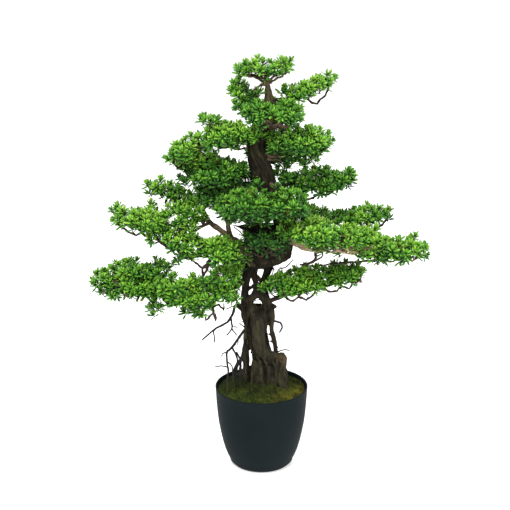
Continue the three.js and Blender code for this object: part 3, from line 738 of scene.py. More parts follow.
# %% Carve the bark and write the tone
def soften(bm, times, factor):
    for _ in range(times):
        bmesh.ops.smooth_vert(
            bm, verts=bm.verts, factor=factor, use_axis_x=True, use_axis_y=True, use_axis_z=True
        )


def sunk(bm):
    """How far each point lies below the skin around it, in millimetres: painted shade goes there."""
    places = [vert.co.copy() for vert in bm.verts]
    soften(bm, 14, 0.6)
    depths = [(vert.co - place).dot(vert.normal) / MM for vert, place in zip(bm.verts, places)]
    for vert, place in zip(bm.verts, places):
        vert.co = place
    return depths


def carve(mesh):
    bm = bmesh.new()
    bm.from_mesh(mesh)
    soften(bm, 2, 0.5)
    bm.normal_update()
    tone_layer = bm.verts.layers.float.new("tone")
    ruddy_layer = bm.verts.layers.float.new("ruddy")
    pushes = []
    for vert in bm.verts:
        push, vert[tone_layer], vert[ruddy_layer] = bark_at(vert.co / MM, vert.normal)
        pushes.append(push)
    for vert, push in zip(bm.verts, pushes):
        vert.co += vert.normal * push * MM
    bm.normal_update()
    # painted shade: points below the skin around them are painted darker, raised ones a little lighter as
    # painted light
    for vert, depth in zip(bm.verts, sunk(bm)):
        vert[tone_layer] -= max(-0.10, min(0.30, depth * 0.14))
    turn_out_and_smooth(bm)
    bm.to_mesh(mesh)
    bm.free()


carve(trunk_mesh)
piece("carved_trunk", trunk_mesh, TRUNK_BARK, "trunk")
print("trunk carved:", len(trunk_mesh.vertices), "points")

# %% [markdown]
# ## Hanging roots
# The thin roots leave the trunk at its shoulders and fork on their way down. They are dark and
# knotty, and most of them end in the moss. The first limbs of each are those of the solid, and the
# last ones are small forks that are too fine for it.

# %% Limbs of the roots
AERIAL_ROOTS = {
    "aerial_root_upper_left": [
        [[-34, -4, 380, 3.6], [-56, -14, 390, 3.2], [-66, -20, 368, 3], [-76, -26, 353, 2.6],
         [-97, -30, 343, 2.4], [-111, -33, 334, 2.1], [-133, -36, 314, 1.6]],
        [[-69, -22, 362, 2.4], [-66, -22, 346, 2], [-67, -22, 335, 1.8], [-79, -22, 320, 1.4]],
        [[-67, -22, 337, 1.7], [-56, -22, 320, 1.4]],
        [[-108, -33, 336, 1.8], [-105, -34, 321, 1.6], [-106, -34, 308, 1.4]],
        [[-57, -14, 390, 1.6], [-67, -16, 386, 1.3], [-80, -18, 381, 1.1]],
        [[-66, -22, 343, 1.4], [-60, -21, 341, 1.2], [-55, -20, 336, 1.0]],
        [[-34, -10, 333, 1.8], [-42, -14, 339, 1.5], [-50, -16, 347, 1.1]],
        [[-33, -12, 349, 1.6], [-40, -14, 350, 1.2], [-47, -14, 349, 1.0]],
    ],
    "aerial_root_lower_left": [
        [[-24, -4, 346, 3.4], [-36, -12, 332, 3.2], [-54, -22, 310, 3], [-66, -30, 295, 2.8],
         [-77, -34, 285, 2.5], [-78, -36, 266, 2.3], [-75, -38, 243, 2.2], [-77, -42, 212, 2.2],
         [-76, -42, 160, 2.2]],
        [[-66, -30, 295, 2.3], [-56, -34, 274, 2.1], [-54, -36, 260, 2], [-63, -38, 244, 1.9],
         [-64, -30, 220, 1.9], [-64, -26, 160, 1.9]],
        [[-77, -34, 283, 1.7], [-86, -36, 284, 1.5], [-89, -38, 275, 1.3]],
        [[-76, -37, 250, 1.6], [-91, -38, 253, 1.4], [-105, -40, 251, 1.3]],
        [[-54, -22, 312, 1.5], [-53, -23, 304, 1.2], [-54, -24, 298, 1.0]],
        [[-55, -36, 264, 1.8], [-46, -30, 268, 1.6], [-41, -24, 279, 1.6]],
        [[-77, -37, 262, 1.7], [-68, -40, 256, 1.4], [-65, -42, 241, 1.3], [-62, -44, 214, 1.3],
         [-61, -46, 176, 1.3]],
        [[-63, -36, 236, 1.6], [-52, -34, 230, 1.4], [-44, -34, 238, 1.2]],
    ],
    "aerial_root_inner_left": [
        [[-36, -6, 304, 3.6], [-43, -20, 276, 3], [-47, -22, 254, 2.8], [-49, -20, 220, 3],
         [-49, -18, 160, 3]],
        [[-46, -21, 262, 2], [-55, -26, 242, 1.8], [-56, -24, 222, 1.7], [-56, -22, 160, 1.7]],
        [[-48, -22, 244, 1.8], [-41, -30, 232, 1.5], [-34, -36, 228, 1.2]],
        [[-52, -22, 232, 1.8], [-60, -28, 216, 1.6], [-62, -32, 176, 1.6]],
        [[-38, -22, 292, 2.2], [-42, -28, 286, 2.6], [-44, -30, 273, 2.8], [-50, -32, 262, 3.2],
         [-57, -34, 251, 2.2], [-60, -34, 238, 1.6]],
        [[-56, -32, 284, 1.6], [-53, -32, 276, 2.2], [-47, -32, 267, 2.8], [-41, -30, 260, 2.4],
         [-37, -26, 250, 1.8]],
    ],
    "aerial_root_right": [
        [[23, 0, 346, 2.8], [41, -8, 346, 2.5], [47, -10, 336, 2.2], [40, -10, 322, 1.7]],
        [[34, -22, 280, 1.8], [42, -24, 284, 1.5], [51, -26, 287, 1.3], [63, -26, 285, 1.1]],
        [[28, -10, 302, 1.8], [33, -14, 294, 1.5], [37, -16, 287, 1.2]],
        [[40, -6, 474, 1.8], [52, -12, 477, 1.4], [63, -12, 488, 1.3], [69, -12, 496, 1.1]],
        [[26, -4, 474, 1.6], [25, -8, 466, 1.3], [22, -8, 454, 1.1]],
    ],
    "aerial_root_back": [
        [[-6, 26, 352, 3.4], [-10, 44, 330, 3], [-4, 54, 290, 2.6], [4, 56, 240, 2.5], [0, 52, 200, 2.4],
         [2, 52, 160, 2.4]],
        [[-5, 53, 296, 2], [-20, 60, 268, 1.7], [-24, 58, 244, 1.3]],
        [[2, 55, 220, 1.8], [12, 56, 206, 1.5], [16, 54, 176, 1.5]],
    ],
}
print("roots:", len(AERIAL_ROOTS), "limbs:", sum(len(limbs) for limbs in AERIAL_ROOTS.values()))


# %% Roots
WOOD_TONE = 0.35  # of roots, and of limbs and twigs that have no tone of their own


def wood_mesh(name, groups, seed):
    """Groups of stems as one mesh: each group has its paths, its roundness and its tone."""
    bm = bmesh.new()
    tone_layer = bm.verts.layers.float.new("tone")
    shift = Vector((seed, 0, 0))
    for paths, roundness, tone in groups:
        if paths:
            known = len(bm.verts)
            mesh = stems_mesh(name, paths, roundness)
            bm.from_mesh(mesh)
            bpy.data.meshes.remove(mesh)
            bm.verts.ensure_lookup_table()
            for vert in bm.verts[known:]:
                vert[tone_layer] = tone + 0.5 * noise.noise(vert.co / MM * 0.05 + shift)
    turn_out_and_smooth(bm)
    return finished_mesh(name, bm)


for number, (name, limbs) in enumerate(AERIAL_ROOTS.items()):
    rng = random.Random(100 + number)
    paths = [knotted(path(limb, 7), rng, wander=0.7, swell=0.12) for limb in limbs]
    mesh = wood_mesh(name, [(paths, 2, WOOD_TONE)], number * 31)
    piece("fine_" + name, mesh, ROOT_BARK, name)
    print(name, len(mesh.polygons), "faces")

# %% [markdown]
# ## One leaf and a few tufts
# A leaf is a bar with three sides: subdivided twice, widened in the middle, ridged along the top and
# bent back. That takes few faces, because it will be repeated thousands of times. Leaves stand
# round a stalk by the golden angle, as on a real shoot: the low ones lie flat, the top ones stand up.
# A few different tufts, turned and tilted, are enough for a whole tree.

# %% A leaf
LEAF_WIDTHS = [(0.0, 0.22), (0.38, 0.80), (0.76, 1.0), (1.0, 0.42)]  # share of the length, of the width
RIDGE = 0.16  # how far the ridge stands out, as a share of the width
UNDERSIDE = -0.05  # and how far the two edges lie back


def add_leaf(bm, length, width, bend, place, tone, layers):
    """Adds a blade that runs up Z from the origin, with its ridge towards +Y, then places it."""
    known = len(bm.verts)
    made = bmesh.ops.create_cone(bm, cap_ends=True, segments=3, radius1=0.5, radius2=0.5, depth=1)
    edges = {e for v in made["verts"] for e in v.link_edges}
    rising = [e for e in edges if abs(e.verts[0].co.z - e.verts[1].co.z) > 0.5]
    bmesh.ops.subdivide_edges(bm, edges=rising, cuts=2)
    bm.verts.ensure_lookup_table()
    tone_layer, along_layer = layers
    for vert in bm.verts[known:]:
        share, wide = LEAF_WIDTHS[round((vert.co.z + 0.5) * 3)]
        on_ridge = vert.co.y > 0.2
        side = 0 if on_ridge else math.copysign(1, vert.co.x)
        x = side * wide * width / 2
        y = width * (RIDGE if on_ridge else UNDERSIDE) * wide - bend * length * share**2
        vert.co = place @ Vector((x, y, share * length))
        vert[tone_layer] = tone
        vert[along_layer] = share


print("rings of a leaf:", len(LEAF_WIDTHS))


# %% Tufts of leaves
GOLDEN = math.pi * (3 - math.sqrt(5))
# number of leaves, and how far the lowest ones lean out, in degrees
TUFT_KINDS = [(14, 74), (13, 66), (15, 78), (12, 58), (14, 70), (16, 80), (13, 62), (11, 54)]


def tuft(rng, leaves, spread):
    bm = bmesh.new()
    layers = (bm.verts.layers.float.new("tone"), bm.verts.layers.float.new("along"))
    start = rng.uniform(0, 6.28)
    for i in range(leaves):
        share = i / (leaves - 1)
        lean = math.radians(spread * (1 - share) ** 0.8 + 10 + rng.uniform(-9, 9))
        length = rng.uniform(14.5, 18.0) * (1 - 0.2 * share)
        turn = Matrix.Rotation(start + i * GOLDEN + rng.uniform(-0.25, 0.25), 4, "Z")
        roll = Matrix.Rotation(rng.uniform(-0.35, 0.35), 4, "Z")
        foot = Matrix.Translation((0, -0.6 * MM, (share * 6 - 3) * MM))
        place = turn @ foot @ Matrix.Rotation(lean, 4, "X") @ roll
        bend = rng.uniform(-0.05, 0.22)
        width = rng.uniform(4.8, 6.2)
        add_leaf(bm, length * MM, width * MM, bend, place, rng.random(), layers)
    turn_out_and_smooth(bm)
    return finished_mesh("tuft", bm)


tuft_rng = random.Random(5)
TUFTS = [tuft(tuft_rng, leaves, spread) for leaves, spread in TUFT_KINDS]
print("tufts:", len(TUFTS), "triangles in the first:", triangles_of(TUFTS[0]))

# %% [markdown]
# ## Pads of foliage
# Each leafy part of a limb becomes a pad: flat, wider than high, a little domed. Tufts are thrown
# into that space at random, and one that lands too near another is left out, which gives an even
# cover without rows. Then twigs are grown from the limb: each tuft looks for the nearest piece of
# wood, limb or twig, and joins it by a twig that runs out low and rises at its end. That is what
# gives such a tree its bare, knotty underside.

# %% Limbs of the branches, each from inside the trunk out
BRANCHES = {
    "crown": [
        [[11, 0, 882, 3.6], [8, 0, 896, 3.2], [-18, 2, 904, 2.6], [-42, 6, 904, 2]],
        [[11, 0, 888, 3], [28, 2, 904, 2.6], [50, 4, 907, 2]],
        [[11, 0, 888, 2.6], [11, -16, 902, 2.2], [11, -32, 908, 2]],
    ],
    "top_right": [[[13, 0, 850, 4], [52, -6, 856, 3.4], [96, -10, 868, 3], [134, -8, 888, 2]]],
    "top_left": [[[6, 2, 816, 4], [-20, 18, 822, 3], [-40, 26, 838, 2.6], [-54, 30, 862, 2]]],
    "upper_front": [
        [[8, 0, 806, 5], [14, -30, 812, 4], [0, -56, 822, 3], [-22, -62, 824, 2.2]],
        [[14, -36, 814, 3], [40, -60, 824, 2.6], [68, -60, 824, 2]],
    ],
    "upper_back": [[[0, 4, 788, 5], [12, 40, 786, 3.6], [26, 72, 794, 2.8], [42, 104, 796, 2]]],
    "upper_left": [
        [[-14, -2, 758, 7], [-56, -14, 776, 5], [-104, -22, 770, 4], [-148, -22, 744, 3.2],
         [-184, -10, 732, 2.2]],
    ],
    "upper_right": [[[-4, -4, 738, 6], [36, -20, 756, 4.6], [84, -26, 760, 3.4], [128, -18, 756, 2.2]]],
    "left_shelf": [[[0, -2, 694, 6], [-38, -6, 684, 4.4], [-90, -6, 682, 3.2], [-138, -2, 678, 2.2]]],
    "back_shelf": [[[6, 2, 690, 6], [10, 44, 698, 4], [18, 90, 704, 3], [24, 136, 702, 2]]],
    "right_shelf": [
        [[22, 2, 640, 6], [66, 38, 642, 4.8], [112, 56, 644, 3.8], [152, 60, 648, 3], [190, 58, 654, 2]],
    ],
    "front": [
        [[34, -2, 604, 7], [28, -40, 616, 5], [6, -74, 632, 4], [-36, -100, 638, 3], [-76, -104, 638, 2.2]],
        [[18, -60, 626, 3.6], [46, -92, 638, 3], [82, -98, 636, 2.2]],
    ],
    "left": [
        [[46, 2, 536, 9], [2, -2, 530, 8], [-40, 0, 536, 7], [-76, 2, 550, 6.4], [-118, 0, 578, 5],
         [-166, -10, 576, 4], [-222, -24, 576, 3.2], [-266, -30, 586, 2.8], [-304, -30, 600, 2]],
        [[-78, 2, 550, 5], [-80, 26, 594, 4], [-88, 54, 630, 3], [-120, 62, 634, 2]],
        [[-128, -2, 577, 4], [-160, 30, 600, 3.4], [-194, 42, 620, 2.6], [-228, 42, 638, 2]],
        [[-100, 0, 568, 4], [-134, -36, 538, 3], [-172, -44, 530, 2.6], [-208, -42, 544, 2]],
    ],
    "right": [
        [[50, 0, 562, 8], [88, -30, 554, 6.4], [132, -58, 552, 5.2], [180, -66, 548, 4.4],
         [234, -62, 538, 3.6], [290, -52, 524, 3], [344, -42, 524, 2]],
        [[96, -36, 554, 4], [74, -64, 570, 3], [106, -86, 576, 2.4], [146, -88, 572, 2]],
        [[160, -62, 550, 3.4], [184, -26, 534, 3], [230, -6, 530, 2.4], [262, -8, 532, 1.8]],
    ],
    "back_right": [
        [[46, 4, 578, 7], [82, 40, 562, 5], [136, 70, 556, 4], [196, 82, 560, 3.2], [240, 84, 566, 2.6],
         [274, 80, 574, 2]],
        [[92, 48, 561, 4], [104, 90, 564, 3.2], [124, 120, 562, 2.6], [140, 146, 556, 2]],
    ],
    "back_left": [
        [[38, 4, 590, 6], [2, 54, 572, 4.8], [-36, 100, 568, 3.6], [-68, 134, 572, 2.8],
         [-98, 160, 570, 2]],
    ],
    "left_low_shelf": [
        [[-10, -4, 476, 6], [-44, -32, 506, 4.6], [-76, -48, 518, 3.4], [-108, -52, 516, 2.2]],
    ],
    "low_front": [
        [[36, -4, 500, 6], [20, -42, 522, 4.4], [4, -62, 536, 3.4], [-26, -66, 540, 2]],
        [[14, -52, 529, 3], [30, -68, 540, 2.6], [42, -72, 544, 2.2]],
    ],
    "low_left": [
        [[-34, 2, 446, 8], [-78, -30, 430, 6.4], [-128, -56, 418, 5], [-180, -46, 412, 4.4],
         [-232, -16, 418, 4], [-290, -4, 428, 3.2], [-340, 4, 430, 2.2]],
    ],
    "low_right": [
        [[14, -5, 395, 6], [32, -4, 401, 5.6], [50, -4, 410, 5], [88, -12, 420, 4], [132, -2, 428, 3.4],
         [170, 8, 434, 2.8], [202, 10, 444, 2]],
    ],
    "low_back": [[[9, 6, 424, 6], [-4, 60, 424, 4.6], [-26, 116, 428, 3.6], [-44, 168, 426, 2]]],
}
print("branches:", len(BRANCHES), "limbs:", sum(len(limbs) for limbs in BRANCHES.values()))

# %% Leafy sprays
# the branch, then its limbs in leaf: each with the shares of its length where leaves start and end
SPRAYS = {
    "crown": ("crown", [[2, 0.95, 1], [0, 0.36, 1], [1, 0.55, 1]]),
    "top_right": ("top_right", [[0, 0.42, 1]]),
    "top_left": ("top_left", [[0, 0.45, 1]]),
    "upper_front": ("upper_front", [[0, 0.5, 1], [1, 0.5, 1]]),
    "upper_back": ("upper_back", [[0, 0.55, 1]]),
    "upper_left": ("upper_left", [[0, 0.24, 0.56]]),
    "upper_left_tip": ("upper_left", [[0, 0.82, 1]]),
    "upper_right": ("upper_right", [[0, 0.3, 1]]),
    "left_shelf": ("left_shelf", [[0, 0.36, 1]]),
    "back_shelf": ("back_shelf", [[0, 0.5, 1]]),
    "right_shelf": ("right_shelf", [[0, 0.32, 1]]),
    "front": ("front", [[0, 0.42, 1], [1, 0.4, 1]]),
    "left_finger": ("left", [[2, 0.45, 1]]),
    "left_inner": ("left", [[1, 0.6, 1]]),
    "left_tip": ("left", [[0, 0.76, 1]]),
    "left_drop": ("left", [[3, 0.45, 1]]),
    "right_inner": ("right", [[1, 0.4, 1]]),
    "right_outer": ("right", [[2, 0.4, 1]]),
    "right_tip": ("right", [[0, 0.72, 1]]),
    "back_right": ("back_right", [[1, 0.4, 1]]),
    "back_right_tip": ("back_right", [[0, 0.66, 1]]),
    "back_left": ("back_left", [[0, 0.45, 1]]),
    "left_low_shelf": ("left_low_shelf", [[0, 0.5, 1]]),
    "low_front": ("low_front", [[0, 0.7, 1], [1, 0.7, 1]]),
    "low_left": ("low_left", [[0, 0.2, 0.54]]),
    "low_left_tip": ("low_left", [[0, 0.66, 1]]),
    "low_right": ("low_right", [[0, 0.2, 0.58]]),
    "low_right_tip": ("low_right", [[0, 0.8, 1]]),
    "low_back": ("low_back", [[0, 0.5, 1]]),
}
print("sprays:", len(SPRAYS))

# %% The shape and the dye of each pad
TUFT_GAP = 15.5  # the least distance from tuft to tuft, in millimetres
# half width, lowest and highest foot of a tuft over the limb, and how far past its end, in millimetres
PAD = {"half": 50, "low": -8, "high": 30, "beyond": 10}
PADS = {
    "crown": {"low": 2, "high": 20, "half": 42},
    "top_right": {"low": -6, "high": 16, "half": 36},
    "back_right": {"high": 14},
    "back_right_tip": {"high": 16},
    "upper_left": {"high": 22},
    "back_shelf": {"beyond": 18},
    "back_left": {"beyond": 28},
    "low_back": {"beyond": 30},
    "upper_left_tip": {"high": 24},
    "left_finger": {"half": 32, "low": -4, "high": 20},
    "left_drop": {"half": 36, "low": 0, "beyond": 0},
    "low_front": {"half": 34, "low": 6},
    "low_right": {"half": 36, "low": 0, "high": 24},
    "low_right_tip": {"half": 36, "low": 0, "high": 24},
}
# pads whose tufts stand closer together, as a share of the gap
CLOSER = {
    "low_right": 0.84, "low_right_tip": 0.84, "low_left_tip": 0.92, "low_left": 0.93, "left_inner": 0.88,
    "upper_left": 0.92, "upper_right": 0.94, "top_right": 0.9,
}
# painted shade of each spray: sprays behind or under others are painted darker, and the brightest have less
# than nothing, a painted light
SPRAY_PAINTED_SHADE = {
    "top_left": 0.3, "upper_back": 0.35, "left_shelf": 0.5, "back_shelf": 0.4, "right_shelf": 0.3,
    "left_inner": 0.1, "back_left": 0.4, "back_right": 0.1, "back_right_tip": 0.05, "low_front": 0.85,
    "low_back": 0.4, "front": 0.48, "upper_front": 0.42, "upper_right": 0.08, "low_right_tip": 0.1,
    "right_inner": -0.15, "right_outer": -0.12, "left_tip": -0.2, "left_drop": -0.15, "low_left_tip": 0.1,
    "low_left": 0.02, "left_low_shelf": 0.2, "upper_left_tip": -0.1,
}
print("pads of their own shape:", len(PADS))

# %% [markdown]
# A pad over one limb is too plain for most sprays. Rounder masses beside the limbs fill them up to
# the outline that the tree has.

# %% Rounder masses: x, y, z of the middle, then half of the size each way
FULLER = {
    "upper_back": [(20, 36, 784, 24, 12, 12), (42, 36, 786, 18, 12, 10), (6, 40, 776, 20, 10, 12)],
    "back_shelf": [
        (-30, 24, 669, 12, 10, 7), (-8, 22, 641, 10, 8, 6), (-2, 45, 641, 16, 12, 10),
        (47, 40, 645, 14, 12, 8), (-30, 42, 664, 14, 12, 9),
    ],
    "crown": [
        (-11, -8, 866, 14, 14, 10), (28, 0, 927, 16, 20, 8), (-30, 0, 925, 24, 26, 8),
        (47, 0, 930, 18, 22, 8), (-2, -12, 866, 9, 8, 9), (-4, 0, 932, 14, 18, 7),
    ],
    "top_right": [
        (66, 0, 871, 18, 22, 8), (94, 0, 878, 26, 20, 8), (138, 0, 897, 16, 18, 9),
        (39, 4, 868, 12, 14, 12),
    ],
    "upper_left": [
        (-117, -20, 810, 26, 28, 9), (-78, 10, 757, 46, 36, 12), (-32, -34, 785, 20, 20, 14),
        (-79, -20, 784, 30, 24, 10),
    ],
    "upper_left_tip": [
        (-146, 10, 717, 50, 44, 24), (-163, -10, 751, 22, 28, 16), (-138, 0, 762, 24, 26, 10),
    ],
    "upper_right": [
        (87, 0, 742, 58, 38, 10), (100, -8, 720, 20, 24, 8), (129, -10, 766, 22, 26, 16),
        (-8, -40, 778, 26, 18, 14), (13, -36, 775, 18, 18, 10),
    ],
    "right_shelf": [
        (57, 20, 714, 32, 36, 12), (188, 50, 674, 22, 28, 10), (142, 40, 645, 44, 34, 10),
        (47, 30, 675, 20, 24, 22),
    ],
    "left_shelf": [
        (-72, 24, 718, 40, 24, 10), (-159, 10, 676, 26, 26, 14), (-43, 20, 696, 42, 44, 24),
        (-19, 22, 659, 22, 26, 16), (-135, 20, 692, 40, 44, 22), (-102, 0, 641, 50, 36, 16),
    ],
    "front": [
        (-51, -90, 624, 56, 30, 14), (56, -80, 621, 50, 30, 14), (9, -70, 676, 30, 24, 10),
        (-2, -86, 605, 30, 22, 6),
    ],
    "left_finger": [
        (-236, 40, 645, 22, 30, 12), (-158, 30, 620, 30, 30, 14), (-204, 40, 640, 30, 24, 12),
        (-222, 40, 652, 20, 20, 9),
    ],
    "left_drop": [
        (-124, -20, 592, 16, 12, 7), (-169, -20, 603, 46, 40, 22), (-205, -30, 561, 52, 40, 18),
        (-156, -44, 575, 14, 20, 10), (-108, -50, 535, 44, 34, 18), (-148, -50, 517, 26, 24, 12),
    ],
    "left_tip": [(-284, -25, 586, 38, 34, 11), (-312, -25, 616, 16, 26, 13), (-249, -10, 605, 30, 36, 16)],
    "left_low_shelf": [(-78, -50, 531, 48, 34, 24), (-182, -50, 514, 14, 20, 7)],
    "right_inner": [
        (146, -75, 566, 84, 36, 24), (150, -80, 547, 20, 12, 6), (70, -85, 592, 32, 34, 20),
        (138, -62, 534, 16, 22, 7),
    ],
    "right_outer": [
        (258, -36, 509, 20, 16, 8), (246, -38, 501, 12, 12, 6), (219, -40, 527, 60, 40, 16),
        (256, -40, 511, 24, 24, 10),
    ],
    "right_tip": [(297, -45, 524, 40, 40, 14), (262, -45, 506, 14, 20, 8), (345, -40, 530, 20, 28, 13)],
    "back_right_tip": [
        (273, 80, 573, 24, 30, 12), (250, 74, 570, 18, 26, 20), (282, 80, 579, 7, 10, 7),
        (241, 80, 588, 11, 20, 6),
    ],
    "back_right": [(189, 90, 556, 40, 40, 12)],
    "low_left_tip": [
        (-208, 0, 476, 14, 18, 10), (-230, 0, 483, 16, 16, 9), (-342, 0, 444, 34, 40, 20),
        (-288, 0, 467, 48, 44, 18), (-248, 10, 480, 13, 16, 16), (-224, 0, 465, 22, 28, 18),
        (-319, -20, 427, 50, 36, 13), (-235, -50, 394, 15, 18, 18),
    ],
    "low_left": [
        (-183, -60, 446, 50, 44, 26), (-96, -50, 461, 56, 40, 28), (-144, -70, 403, 32, 26, 18),
        (-48, -30, 464, 22, 30, 36), (-59, -44, 420, 18, 22, 14),
    ],
    "low_front": [(8, -46, 541, 40, 22, 12), (32, -44, 533, 22, 20, 9), (-12, -46, 534, 20, 20, 9)],
    "low_right": [
        (20, -8, 440, 14, 18, 19), (79, 0, 448, 44, 34, 14), (139, 0, 456, 46, 34, 14),
        (40, -8, 444, 24, 24, 17), (96, 0, 459, 34, 28, 10), (62, 28, 452, 50, 14, 13),
        (130, 28, 459, 50, 14, 12), (12, -32, 437, 12, 7, 15), (36, -28, 439, 26, 10, 14),
        (108, -8, 440, 32, 20, 7), (150, -8, 443, 26, 18, 6),
    ],
    "low_right_tip": [
        (209, -6, 450, 11, 16, 10), (217, -6, 464, 8, 12, 8), (192, 0, 460, 36, 34, 14),
        (186, 26, 462, 34, 14, 12),
    ],
}
print("masses:", sum(len(masses) for masses in FULLER.values()))

# %% [markdown]
# Between the pads one sees through to the ground, or to bare wood. Those places are known only from
# in front, so they are circles in the photograph, and a tuft whose middle falls in one is left out.

# %% Places that stay open
PHOTO = 510  # width and height of the photograph, in pixels
EYE = Vector((-14.8, -3000, 1501))  # where the camera stands, in millimetres
TILT = math.radians(18.41)  # how far it looks down
FOCAL = 1428.0  # its focal length, in pixels of the photograph
# across, down and radius in pixels
OPEN = [
    (128, 200, 11), (383, 230, 6), (350, 252, 8), (284, 264, 9), (334, 167, 4.5), (321, 203, 6),
    (376, 202, 6), (251, 273, 8), (258, 157, 6), (243, 155, 4.5), (420, 238, 6), (349, 207, 4.5),
    (386, 203, 6), (146, 257, 8), (304, 262, 3), (272, 269, 6), (303, 295, 8), (338, 258, 6), (236, 73, 3),
    (228, 119, 3), (215, 110, 6), (170, 144, 4.5), (169, 179, 3), (155, 174, 4.5), (145, 187, 4.5),
    (137, 207, 3), (203, 232, 3), (405, 235, 3), (395, 234, 4.5), (430, 241, 3), (335, 207, 4.5),
    (396, 214, 4.5), (210, 207, 3), (178, 276, 3), (197, 269, 6), (171, 271, 3), (290, 302, 11),
    (322, 264, 4.5), (256, 231, 4.5), (275, 90, 8), (343, 168, 6), (142, 204, 3), (388, 234, 3),
    (204, 268, 8), (251, 158, 6), (240, 60, 3), (195, 121, 6), (331, 209, 4.5), (370, 202, 3),
    (326, 266, 3), (249, 264, 7), (247, 275, 9), (246, 287, 8), (244, 297, 7), (268, 228, 7),
    (276, 237, 4.5), (268, 183, 8), (267, 174, 6), (258, 78, 9), (275, 78, 9), (267, 121, 6), (279, 121, 6),
    (271, 153, 5), (275, 182, 4), (221, 150, 7), (230, 152, 7), (238, 155, 7), (209, 210, 8), (214, 218, 6),
    (206, 232, 8), (236, 233, 6), (304, 126, 4.5), (169, 256, 6), (329, 264, 3), (299, 266, 4.5),
    (139, 204, 3), (327, 206, 3), (184, 273, 3), (109, 269, 3), (339, 82, 5), (310, 256, 6), (298, 256, 6),
]


def in_photograph(point):
    """Where a point in millimetres falls in the photograph, in pixels across and down."""
    off = point - EYE
    deep = off.y * math.cos(TILT) - off.z * math.sin(TILT)
    high = off.y * math.sin(TILT) + off.z * math.cos(TILT)
    return PHOTO / 2 + FOCAL * off.x / deep, PHOTO / 2 - FOCAL * high / deep


def stays_open(point):
    across, down = in_photograph(point)
    return any(math.hypot(across - u, down - v) < r for u, v, r in OPEN)


print("open places:", len(OPEN), "knot in the photograph:", [round(c) for c in in_photograph(KNOT)])


# %% Keep the trunk clear
TRUNK_ROOM = 7  # from the trunk's surface to a tuft's foot
trunk_points = [spot for stem in STEMS.values() for spot in path(stem, 8)]
trunk_tree = KDTree(len(trunk_points))
for i, (place, _) in enumerate(trunk_points):
    trunk_tree.insert(place, i)
trunk_tree.balance()


def clear_of_trunk(foot):
    """Not inside the trunk, and not straight behind the gaps in its twisted part."""
    _, i, distance = trunk_tree.find(foot)
    sight = foot.z + 0.333 * foot.y  # the height at which the camera's view of the foot crosses the trunk
    behind_gaps = foot.y > 15 and abs(foot.x + 8) < 26 and 375 < sight < 490
    return distance > trunk_points[i][1] + TRUNK_ROOM and not behind_gaps


print("points of the trunk:", len(trunk_points))

# %% Throw the tufts
LIMB_STEP = 4  # in millimetres
TUFT_MIDDLE = 9  # from a tuft's foot to its middle


def along_path(points, share):
    """The place, direction and radius at a share of a path of even steps."""
    at = max(0.0, min(share, 1.0)) * (len(points) - 1)
    i = min(int(at), len(points) - 2)
    place = points[i][0].lerp(points[i + 1][0], at - i)
    ahead = (points[i + 1][0] - points[i][0]).normalized()
    return place, ahead, points[i][1]


def keep_tuft(feet, foot, look, level, gap):
    """Adds a tuft's foot, its way and how high it is in its pad, which also sets its painted light, if the
    tuft has room there.
    """
    look = look.normalized()
    crowded = any((foot - other[0]).length < gap for other in feet)
    if not crowded and clear_of_trunk(foot) and not stays_open(foot + look * TUFT_MIDDLE):
        feet.append((foot, look, level))


def jitter(rng, size):
    return Vector([rng.uniform(-size, size) for _ in range(3)])


def throw_over_limb(feet, points, start, end, pad, gap, rng):
    """Throws tufts into the flat dome over the leafy share of a limb."""
    length = LIMB_STEP * (len(points) - 1)
    middle, reach = (start + end) / 2, (end - start) / 2 + pad["beyond"] / length
    for _ in range(int(40 * reach * length)):
        share = middle + rng.uniform(-reach, reach)
        flat = math.sqrt(max(0.0, 1 - (abs(share - middle) / reach) ** 2.6))
        side = rng.uniform(-1, 1)
        place, ahead, radius = along_path(points, share)
        past = max(0.0, share - 1) * length
        across = ahead.cross(UP).normalized()
        dome = 1 - 0.55 * side**2 - 0.25 * (1 - flat)
        # the tuft's height in its pad, which also paints tufts near the top lighter (painted light)
        level = rng.random() ** 0.8
        rise = pad["low"] + (pad["high"] * dome - pad["low"]) * level
        foot = place + ahead * past + across * side * flat * pad["half"] + UP * (radius + rise)
        ends = (share - middle) / reach
        out = across * side * 0.75 + ahead * ends * abs(ends) * 0.8
        keep_tuft(feet, foot, UP * rng.uniform(0.75, 1.05) + out + jitter(rng, 0.3), level, gap)


def throw_into_mass(feet, mass, gap, rng):
    """Throws tufts into a round mass."""
    x, y, z, wide, deep, high = mass
    for _ in range(int(0.012 * wide * deep * high) + 60):
        way = jitter(rng, 1)
        if way.length <= 1:
            foot = Vector((x + way.x * wide, y + way.y * deep, z + way.z * high))
            out = Vector((way.x, way.y, 0)) * 0.7
            # tufts near the top of a mass are painted lighter (painted light)
            keep_tuft(feet, foot, UP * (0.8 + 0.25 * way.z) + out + jitter(rng, 0.3), 0.5 + 0.5 * way.z, gap)


def throw_tufts(spray, rng):
    """The feet of a spray's tufts in millimetres, each with the way that it looks and its height in the pad,
    which also sets its painted light.
    """
    branch, parts = SPRAYS[spray]
    pad = {**PAD, **PADS.get(spray, {})}
    gap = TUFT_GAP * CLOSER.get(spray, 1)
    feet = []
    for limb, start, end in parts:
        throw_over_limb(feet, path(BRANCHES[branch][limb], LIMB_STEP), start, end, pad, gap, rng)
    for mass in FULLER.get(spray, []):
        throw_into_mass(feet, mass, gap, rng)
    return feet


crown_feet = throw_tufts("crown", random.Random(1000))
print("tufts over the crown:", len(crown_feet))

# %% Grow twigs to the tufts
STALK = 9  # the last straight bit of a twig, up to the tuft's foot
ORDER_COST = 7  # a twig on a twig seems this much farther, in millimetres
HEIGHT_COST = 0.6  # and so does each millimetre of height between the wood and the foot


